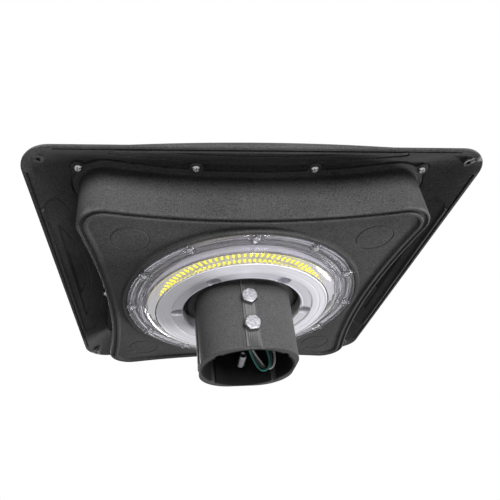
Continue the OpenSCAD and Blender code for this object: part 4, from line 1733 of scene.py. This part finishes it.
@dataclass
class ClampBolt:
    """A hex head bolt with a chamfered head and a rolled thread.

    Attributes:
        node: Its CAD node and body.
        side: -1 at the front and 1 at the back.
        z: Height of its axis, in mm.
        turn: Turn of its head, in degrees.
        seat: Distance of the head's seat from the pole's axis.
        length: Length of the shank.
        radius: Radius of the shank.
        flats: Width of the head across its flats.
        head: Height of the head.
        pitch: Pitch of the thread.
        thread: Depth of the thread.
        plain: Length of plain shank under the head.
        point: Length of the turned end.
    """

    node: str
    side: int
    z: float
    turn: float
    seat: float = 44.8
    length: float = 27.0
    radius: float = 4.0
    flats: float = 13.0
    head: float = 5.3
    pitch: float = 1.25
    thread: float = 0.62
    plain: float = 2.0
    point: float = 0.9

    def _head(self, pool: MeshPool) -> None:
        """Adds the head, which stands on z = 0 and rises to its top.

        Args:
            pool: Where it goes.
        """
        angle, apothem = full_turn(144), self.flats / 2
        fold = (angle - math.radians(self.turn)) % (math.pi / 3) - math.pi / 6
        corner = apothem / math.cos(math.pi / 6) - 0.12
        hexagon = np.minimum(apothem / np.cos(fold), corner)
        chamfer, slope = 0.95 * apothem, math.tan(math.radians(28))
        top = self.head - np.maximum(hexagon - chamfer, 0) * slope
        pool.loft([circle(angle, radius, z) for radius, z in (
            (0.02, 0.0), (apothem * 0.93, 0.0), (apothem * 0.95, 0.35), (hexagon - 0.1, 0.42),
            (hexagon, 0.55), (hexagon, top - 0.12), (hexagon - 0.12, top),
            (chamfer, self.head - 0.02), (chamfer - 0.25, self.head), (1.0, self.head),
            (0.02, self.head),
        )])

    def _shank(self, pool: MeshPool) -> None:
        """Adds the threaded shank below z = 0, with a turned end.

        Args:
            pool: Where it goes.
        """
        sides, per_turn = 32, 8
        angle, end = full_turn(sides), self.length - self.point
        tip = ((0.02, 0.7), (1.9, 0.75), (2.3, 0.1), (2.6, 0.0), (3.1, 0.15), (3.35, 0.6))
        rings = [circle(angle, r, z - self.length) for r, z in tip]
        for h in np.arange(0.0, end, self.pitch / per_turn)[::-1]:
            phase = (h / self.pitch + angle / (2 * math.pi)) % 1.0
            ramp = np.clip(h - self.plain, 0, 1) * np.clip((end - h) / 0.8, 0.25, 1)
            depth = self.thread * np.clip(1.25 - np.abs(phase - 0.5) * 3.2, 0, 1) * ramp
            rings.append(circle(angle, self.radius - 0.02 - depth, -h))
        pool.loft(rings)

    def build(self, palette: Palette) -> None:
        """Builds the bolt on its own body, with its head outwards along Y.

        Args:
            palette: The finishes.
        """
        pool = MeshPool()
        self._head(pool)
        self._shank(pool)
        x, y, z = np.concatenate(pool.points).T
        placed = np.stack([-self.side * x, self.side * (self.seat + z), self.z + y], 1)
        bolt = mesh_object(self.node.replace("clamp_bolt", "hex_bolt"), placed, pool.faces)
        palette.place(bolt, "zinc", self.node, self.node)


BOLTS: tuple[ClampBolt, ...] = (
    ClampBolt("clamp_bolt_front_lower", -1, 21.5, 8.0),
    ClampBolt("clamp_bolt_front_upper", -1, 47.5, 40.0),
    ClampBolt("clamp_bolt_back_lower", 1, 21.5, 22.0),
    ClampBolt("clamp_bolt_back_upper", 1, 47.5, 3.0),
)


# Lens and light engine


@dataclass(frozen=True)
class LensRing:
    """One ring of the lens.

    Attributes:
        name: The name of its piece.
        finish: Its finish.
        below: The section of its underside, inwards, as radius and height in mm.
        above: The section of its top, outwards.
    """

    name: str
    finish: str
    below: Section
    above: Section

    def rows(self) -> list[tuple[float, float, bool]]:
        """Returns the radius and height of each row of points, and whether it is below."""
        below, above = refined(self.below, 1.1), refined(self.above, 1.6)
        return [(r, z, True) for r, z in below] + [(r, z, False) for r, z in above]


LENS_RINGS: tuple[LensRing, ...] = (
    LensRing(
        "lens_flange", "flange",
        ((108.0, 67.6), (107.95, 66.2), (107.5, 65.75), (106.9, 65.75), (106.5, 66.2), (106.3, 67.0),
         (104.9, 67.0), (104.6, 66.4), (104.2, 66.1), (102.6, 66.1), (102.2, 66.4), (101.9, 67.0),
         (100.9, 67.0), (100.6, 66.7), (100.1, 66.7), (99.8, 67.0), (98.8, 67.0), (98.5, 66.3),
         (98.0, 65.8), (97.2, 65.8), (96.7, 66.3), (96.4, 66.8), (95.0, 66.8)),
        ((95.0, 69.2), (98.0, 69.2), (101.0, 69.2), (104.0, 69.2), (107.6, 69.2), (108.0, 68.8))),
    LensRing(
        "lens_slope", "flange",
        ((94.98, 66.8), (94.0, 66.5), (93.4, 65.6), (92.6, 64.2), (91.9, 63.2), (91.4, 62.95),
         (91.1, 62.5), (90.62, 61.9)),
        ((90.62, 64.4), (91.2, 65.2), (91.9, 66.7), (92.3, 68.2), (92.5, 69.1), (92.8, 69.2),
         (94.98, 69.2))),
    LensRing(
        "lens_window", "clear",
        ((90.6, 61.9), (89.6, 61.1), (87.2, 59.7), (84.4, 58.7), (81.2, 58.1)),
        ((81.2, 59.73), (83.9, 60.25), (86.4, 61.1), (88.5, 62.3), (90.1, 63.8), (90.6, 64.4))),
    LensRing(
        "lens_hub", "frosted",
        ((81.18, 58.1), (80.7, 57.7), (80.3, 57.55), (79.8, 57.65), (79.3, 57.9), (77.6, 57.85),
         (74.4, 57.8), (74.1, 58.05), (73.7, 58.05), (73.4, 57.8), (70.4, 57.85), (67.4, 58.1),
         (66.82, 58.6)),
        ((66.82, 59.75), (70.5, 59.45), (74.0, 59.4), (77.5, 59.45), (81.18, 59.73))),
    LensRing(
        "lens_lip", "lip",
        ((66.8, 58.6), (66.2, 58.75), (63.4, 58.95), (60.2, 59.3), (58.6, 59.6), (58.2, 59.2),
         (57.6, 59.1), (57.0, 59.5), (56.2, 60.5), (56.0, 61.6)),
        ((56.0, 70.9), (56.2, 71.2), (57.3, 71.2), (57.6, 70.9), (57.6, 62.2), (57.9, 61.6),
         (58.8, 61.2), (60.6, 60.8), (63.7, 60.2), (66.8, 59.8))),
)


def refined(section: Section, longest: float) -> list[tuple[float, float]]:
    """Splits the long spans of a section.

    Args:
        section: The points of the section.
        longest: Longest span that is left, in mm.

    Returns:
        The section with more points.
    """
    found = []
    for (r, z), (s, w) in zip(section, section[1:], strict=False):
        count = max(1, math.ceil(math.dist((r, z), (s, w)) / longest))
        found += [(r + (s - r) * k / count, z + (w - z) * k / count) for k in range(count)]
    return [*found, section[-1]]


def fade(distance: Array, edge: float, width: float) -> Array:
    """Returns 1 inside an edge and 0 outside it, with a slope of some width between them."""
    return np.clip(0.5 - (distance - edge) / width, 0, 1)


@dataclass
class RingLens:
    """The clear ring lens: flange with ribs and bosses, domed ring, inner wall and pockets.

    Attributes:
        copies: What makes the bosses.
        screw_r: Radius of the ring of screws, in mm.
        screws: How many there are.
        screw_start: Angle of the first one, in degrees.
        boss_r: Radius of the flat round under each of them.
        rim_z: Height of that flat.
        rim: Radii that the flats lie between.
        pocket_at: Radius of the ring of pockets for the inner screws.
        pockets: How many there are.
        pocket_r: Radius of a pocket.
        pocket_wall: Thickness of its wall.
        collar: Height and half width of the raised line round it.
        seat_z: Height of the seat in a pocket.
        inner_top: Height of the inner seat.
        lip: Radii that the pockets lie between, and where their lines end.
        sides: How many points go round.
    """

    copies: RingCopies
    screw_r: float = 103.3
    screws: int = 12
    screw_start: float = 30.0
    boss_r: float = 4.9
    rim_z: float = 66.8
    rim: tuple[float, float] = (97.4, 107.0)
    pocket_at: float = 61.0
    pockets: int = 6
    pocket_r: float = 5.3
    pocket_wall: float = 1.5
    collar: tuple[float, float] = (0.45, 0.7)
    seat_z: float = 68.8
    inner_top: float = 71.2
    lip: tuple[float, float, float] = (57.0, 66.79, 72.0)
    sides: int = 720

    def _height(self, r: float, angle: Array, z: float, below: bool) -> Array | float:
        """Returns the heights round a row, with the screw bosses and pockets worked in.

        Args:
            r: The row's radius, in mm.
            angle: The angles of its points, in radians.
            z: Its height on the plain lens.
            below: Whether it is on the underside.

        Returns:
            The height of each point, or z where nothing is worked in.
        """

        def reach(at: float, count: int, start: float) -> Array:
            """Returns the distance from the nearest of a ring of places."""
            step = 2 * math.pi / count
            local = (angle - math.radians(start) + step / 2) % step - step / 2
            return np.hypot(r * np.cos(local) - at, r * np.sin(local))

        slope, (inner, outer, end) = 0.8, self.lip
        pocket, outside = reach(self.pocket_at, self.pockets, 0.0), self.pocket_r + self.pocket_wall
        if not below:
            lifted = fade(pocket, outside, slope)
            return z + lifted * (self.inner_top - z) if inner + 0.7 < r < outer else z
        if self.rim[0] < r < self.rim[1]:
            flat = fade(reach(self.screw_r, self.screws, self.screw_start), self.boss_r, 0.9)
            z = z + flat * (self.rim_z - z)
        if inner < r < outer:
            z = z + fade(pocket, self.pocket_r, slope) * (self.seat_z - z)
        if inner < r < end:
            high, half = self.collar
            z = z - high * np.clip(1 - np.abs(pocket - outside) / half, 0, 1)
        return z

    def _seat(self, pool: MeshPool) -> None:
        """Adds the inner seat, in a length between each two pockets.

        Args:
            pool: Where it goes.
        """
        half = math.degrees(math.asin((self.pocket_r + 2.1) / self.pocket_at))
        section = ((57.7, 69.1), (58.0, 68.8), (64.1, 68.8), (64.4, 69.1), (64.4, 70.9),
                   (64.1, 71.2), (58.0, 71.2), (57.7, 70.9))
        span = 360 / self.pockets
        for k in range(self.pockets):
            arc = np.radians(np.linspace(span * k + half, span * (k + 1) - half, 40))
            pool.loft([
                np.array([(r * math.cos(a), r * math.sin(a), z) for r, z in section])[::-1]
                for a in arc
            ])

    def build(self, palette: Palette) -> None:
        """Builds the ribbed flange, the clear dome, the frosted hub and the lip with its seat.

        Args:
            palette: The finishes.
        """
        angle = full_turn(self.sides)
        for ring in LENS_RINGS:
            pool = MeshPool()
            rows = [
                circle(angle, r, self._height(r, angle, z, below))[::-1]
                for r, z, below in ring.rows()
            ]
            pool.loft(rows, closed=True)
            if ring.name == "lens_lip":
                self._seat(pool)
            palette.place(pool.made(ring.name), "clear", ROOT, "lens", finish=ring.finish)
        self._bosses(palette)

    def _bosses(self, palette: Palette) -> None:
        """Builds the finned bosses round the lens screws as a ring of copies.

        Args:
            palette: The finishes.
        """
        angle, bore = full_turn(96), 3.15
        star = 4.3 + 2.6 * np.abs(np.cos(2 * angle)) ** 6
        pool = MeshPool()
        rows = ((bore, 66.9), (bore, 65.3), (bore + 0.25, 65.1), (star - 0.5, 65.1),
                (star, 65.5), (star + 0.1, 66.9))
        pool.loft([circle(angle, r, z, (self.screw_r, 0.0)) for r, z in rows], closed=True)
        item = pool.made("lens_bosses", False)
        ring = self.copies.build(item, self.screws, palette.made["clear"], self.screw_start)
        palette.place(ring, "clear", ROOT, "lens")


@dataclass
class LightEngine:
    """Two rings of LEDs on the white board.

    Attributes:
        copies: What makes the rings.
        board_z: Height of the board's face, in mm.
        count: How many LEDs a ring has.
        rings: Name and radius of each ring, with the length and width of its LEDs.
    """

    copies: RingCopies
    board_z: float = 71.0
    count: int = 96
    rings: tuple[tuple[str, float, float, float], ...] = (
        ("outer", 75.6, 5.6, 1.6), ("inner", 67.6, 2.4, 1.8)
    )

    def build(self, palette: Palette) -> None:
        """Builds both rings.

        Args:
            palette: The finishes.
        """
        for name, r, length, width in self.rings:
            pool, rows = MeshPool(), []
            for inset, drop in ((0.0, 0.0), (0.0, 0.5), (0.22, 0.7), (0.5, 0.62)):
                x, y, z = length / 2 - inset, width / 2 - inset, self.board_z - drop
                rows.append(np.array([(r - x, -y, z), (r - x, y, z), (r + x, y, z), (r + x, -y, z)]))
            pool.loft(rows)
            item = pool.made(f"led_{name}_ring", False)
            ring = self.copies.build(item, self.count, palette.made["phosphor"])
            ring.data.polygons.foreach_set("use_smooth", [False] * len(ring.data.polygons))
            palette.place(ring, "phosphor", ROOT, f"led_chips_{name}")


# Small screws


@dataclass(frozen=True)
class PanScrew:
    """A pan head screw that points up, with a cross recess in its head.

    Attributes:
        shank: Diameter of the shank, in mm.
        length: Length of the shank.
        head_d: Diameter of the head.
        head_h: Height of the head.
        slot: Width of the recess.
    """

    shank: float
    length: float
    head_d: float
    head_h: float
    slot: float = 0.9

    def add(self, pool: MeshPool, x: float, y: float, z: float, turn: float) -> None:
        """Adds the screw to a pool, with its head's seat at a height.

        Args:
            pool: Where it goes.
            x: Place along X, in mm.
            y: Place along Y, in mm.
            z: Height of the seat under the head.
            turn: Turn of its recess, in degrees.
        """
        angle, radius, dome = full_turn(40), self.head_d / 2, self.head_d * 0.62
        local = angle - math.radians(turn)
        rings = []
        for share in (0.03, 0.16, 0.3, 0.44, 0.56, 0.66, 0.8, 0.92, 1.0):
            r = radius * share
            drop = dome - math.sqrt(dome**2 - r * r)
            u, v = r * np.cos(local), r * np.sin(local)
            cross = np.minimum(np.abs(u), np.abs(v)) - self.slot / 2
            reach = np.hypot(u, v) - radius * 0.58
            depth = np.clip(-np.maximum(cross, reach) / 0.22, 0, 1) * self.head_h * 0.55
            rings.append(circle(angle, r, z - self.head_h + drop + depth, (x, y)))
        side = (dome - math.sqrt(dome**2 - radius**2) - self.head_h) / 2
        for r, h in ((radius, side), (radius - 0.1, 0.0), (self.shank / 2, 0.0),
                     (self.shank / 2, self.length - 0.4), (self.shank / 2 - 0.4, self.length)):
            rings.append(circle(angle, r, z + h, (x, y)))
        pool.loft(rings)


@dataclass
class Fasteners:
    """The visible rings of screws.

    Attributes:
        copies: What makes the rings.
        flange: A screw of the housing's flange.
        rim: A screw of the lens's outer ring.
        hub: A screw of the lens's pockets.
    """

    copies: RingCopies
    flange: PanScrew = PanScrew(3.7, 6.4, 6.8, 2.2)
    rim: PanScrew = PanScrew(2.6, 6.0, 5.6, 1.8, 0.8)
    hub: PanScrew = PanScrew(2.6, 5.6, 5.4, 1.8, 0.8)

    def build(self, palette: Palette, housing: Housing, lens: RingLens) -> None:
        """Builds each ring of screws as copies of what stands in its first place.

        Args:
            palette: The finishes.
            housing: The housing whose flange has the first ring.
            lens: The lens that has the others.
        """
        pool = MeshPool()
        for k, x in enumerate((-housing.screw_mid, housing.screw_mid, housing.screw_line)):
            self.flange.add(pool, x, -housing.screw_line, housing.flange_z, 17.0 + 34.0 * k)
        self._ring(palette, pool, "flange_screws", len(QUARTERS), 0.0, "housing_screws")
        pool = MeshPool()
        self.rim.add(pool, lens.screw_r, 0.0, lens.rim_z, 20.0)
        self._ring(palette, pool, "lens_rim_screws", lens.screws, lens.screw_start, "lens_screws")
        pool = MeshPool()
        self.hub.add(pool, lens.pocket_at, 0.0, lens.seat_z, 35.0)
        self._ring(palette, pool, "lens_hub_screws", lens.pockets, 0.0, "inner_screws")

    def _ring(
        self, palette: Palette, pool: MeshPool, name: str, count: int, start: float, node: str
    ) -> None:
        """Turns a pool into a ring of copies that stands for a node."""
        item = pool.made(name, False)
        ring = self.copies.build(item, count, palette.made["steel"], start)
        palette.place(ring, "steel", ROOT, node)


# Studio


@dataclass(frozen=True)
class Lamp:
    """A round area lamp.

    Attributes:
        name: Its name.
        at: Its place, in m.
        size: Its width, in m.
        power: Its power, in W.
        aim: The point that it faces.
        mirrored: Whether glossy surfaces show it.
    """

    name: str
    at: Point
    size: float
    power: float
    aim: Point = (0.0, 0.0, 0.08)
    mirrored: bool = True

    def build(self) -> None:
        """Hangs the lamp."""
        lamp = bpy.data.lights.new(self.name, "AREA")
        lamp.shape, lamp.size, lamp.energy = "DISK", self.size, self.power
        made = bpy.data.objects.new(self.name, lamp)
        made.location = self.at
        made.visible_glossy = self.mirrored
        way = Vector(self.aim) - Vector(self.at)
        made.rotation_euler = way.to_track_quat("-Z", "Y").to_euler()
        bpy.context.scene.collection.objects.link(made)


@dataclass
class Studio:
    """The floor, the white backdrop and the lamps.

    Attributes:
        floor_z: Height of the floor, in m.
        floor_half: Half of its width.
        sky: Strength of the backdrop as a light.
        mirrored: Its strength in reflections, next to 1 for what is seen straight on.
        lamps: The lamps.
    """

    floor_z: float = -1.1
    floor_half: float = 6.0
    sky: float = 0.015
    mirrored: float = 0.68
    lamps: tuple[Lamp, ...] = (
        Lamp("key", (0.4, -1.9, -0.02), 0.9, 46.0),
        Lamp("fill", (1.35, 0.45, -0.62), 0.7, 26.0, mirrored=False),
        Lamp("side", (-1.7, -0.9, 0.2), 0.9, 5.0),
        Lamp("back", (-0.7, 1.75, 0.4), 1.0, 26.0),
        Lamp("top", (0.2, -0.5, 1.7), 1.6, 10.0, aim=(0.0, 0.0, 0.1)),
    )

    def _seen(self, sheet: Sheet) -> Socket:
        """Works out how white a surface is to each kind of ray.

        Args:
            sheet: The sheet of its material or of the world.

        Returns:
            A share that is 0 to rays that carry light and 1 to the camera.
        """
        path = sheet.node("ShaderNodeLightPath").outputs
        glossy = sheet.math("MULTIPLY", path["Is Glossy Ray"], self.mirrored)
        seen = sheet.math("MAXIMUM", path["Is Camera Ray"], glossy)
        return sheet.math("MAXIMUM", seen, path["Is Transmission Ray"])

    def _floor(self) -> None:
        """Lays the floor, which is white to the camera and to mirrors, and pale to the rest."""
        mesh, half = bpy.data.meshes.new("floor"), self.floor_half
        corners = ((-half, -half), (half, -half), (half, half), (-half, half))
        mesh.from_pydata([(x, y, self.floor_z) for x, y in corners], [], [(0, 1, 2, 3)])
        floor = bpy.data.objects.new("floor", mesh)
        bpy.context.scene.collection.objects.link(floor)
        pale = bpy.data.materials.new("pale floor")
        pale.use_nodes = True
        sheet = Sheet(pale.node_tree)
        matt = sheet.node("ShaderNodeBsdfDiffuse")
        sheet.put(matt.inputs["Color"], grey(0.45))
        output = sheet.node("ShaderNodeOutputMaterial")
        white, mixed = sheet.node("ShaderNodeEmission"), sheet.node("ShaderNodeMixShader")
        sheet.put(mixed.inputs[0], self._seen(sheet))
        sheet.put(mixed.inputs[1], matt.outputs[0])
        sheet.put(mixed.inputs[2], white.outputs[0])
        sheet.put(output.inputs["Surface"], mixed.outputs[0])
        mesh.materials.append(pale)

    def _backdrop(self) -> None:
        """Makes the world, which is white to the camera and dim as a light."""
        world = bpy.data.worlds.new("studio")
        bpy.context.scene.world = world
        world.use_nodes = True
        sheet = Sheet(world.node_tree)
        back = sheet.node("ShaderNodeBackground")
        strength = sheet.spread(self._seen(sheet), 0.0, 1.0, self.sky, 1.0)
        sheet.put(back.inputs["Strength"], strength)
        sheet.put(back.inputs["Color"], grey(1.0))
        sheet.put(sheet.node("ShaderNodeOutputWorld").inputs["Surface"], back.outputs[0])

    def build(self) -> None:
        """Makes the floor, the world and the lamps."""
        bpy.context.scene.view_settings.view_transform = "Standard"
        self._floor()
        self._backdrop()
        for lamp in self.lamps:
            lamp.build()


# Main


def dress_frame(palette: Palette) -> None:
    """Gives every CAD node that stays in sight the finish of its slot."""
    for part in frame["record"]["subparts"]:
        palette.dress(frame["nodes"][part["node"]], part["material_slot"])


def main() -> None:
    """Builds the scene in order."""
    logging.basicConfig(level=logging.INFO, format="%(name)s: %(message)s")
    PhotoCamera().build()
    palette = Palette()
    palette.build()
    for wire in WIRES:
        wire.build(palette)
    dress_frame(palette)
    housing = Housing()
    housing.build(palette)
    Canopy().build(palette, housing)
    Fitter().build(palette)
    for bolt in BOLTS:
        bolt.build(palette)
    copies = RingCopies(ring_tree())
    lens = RingLens(copies)
    Fasteners(copies).build(palette, housing, lens)
    lens.build(palette)
    LightEngine(copies).build(palette)
    Studio().build()


if __name__ == "__main__":
    main()
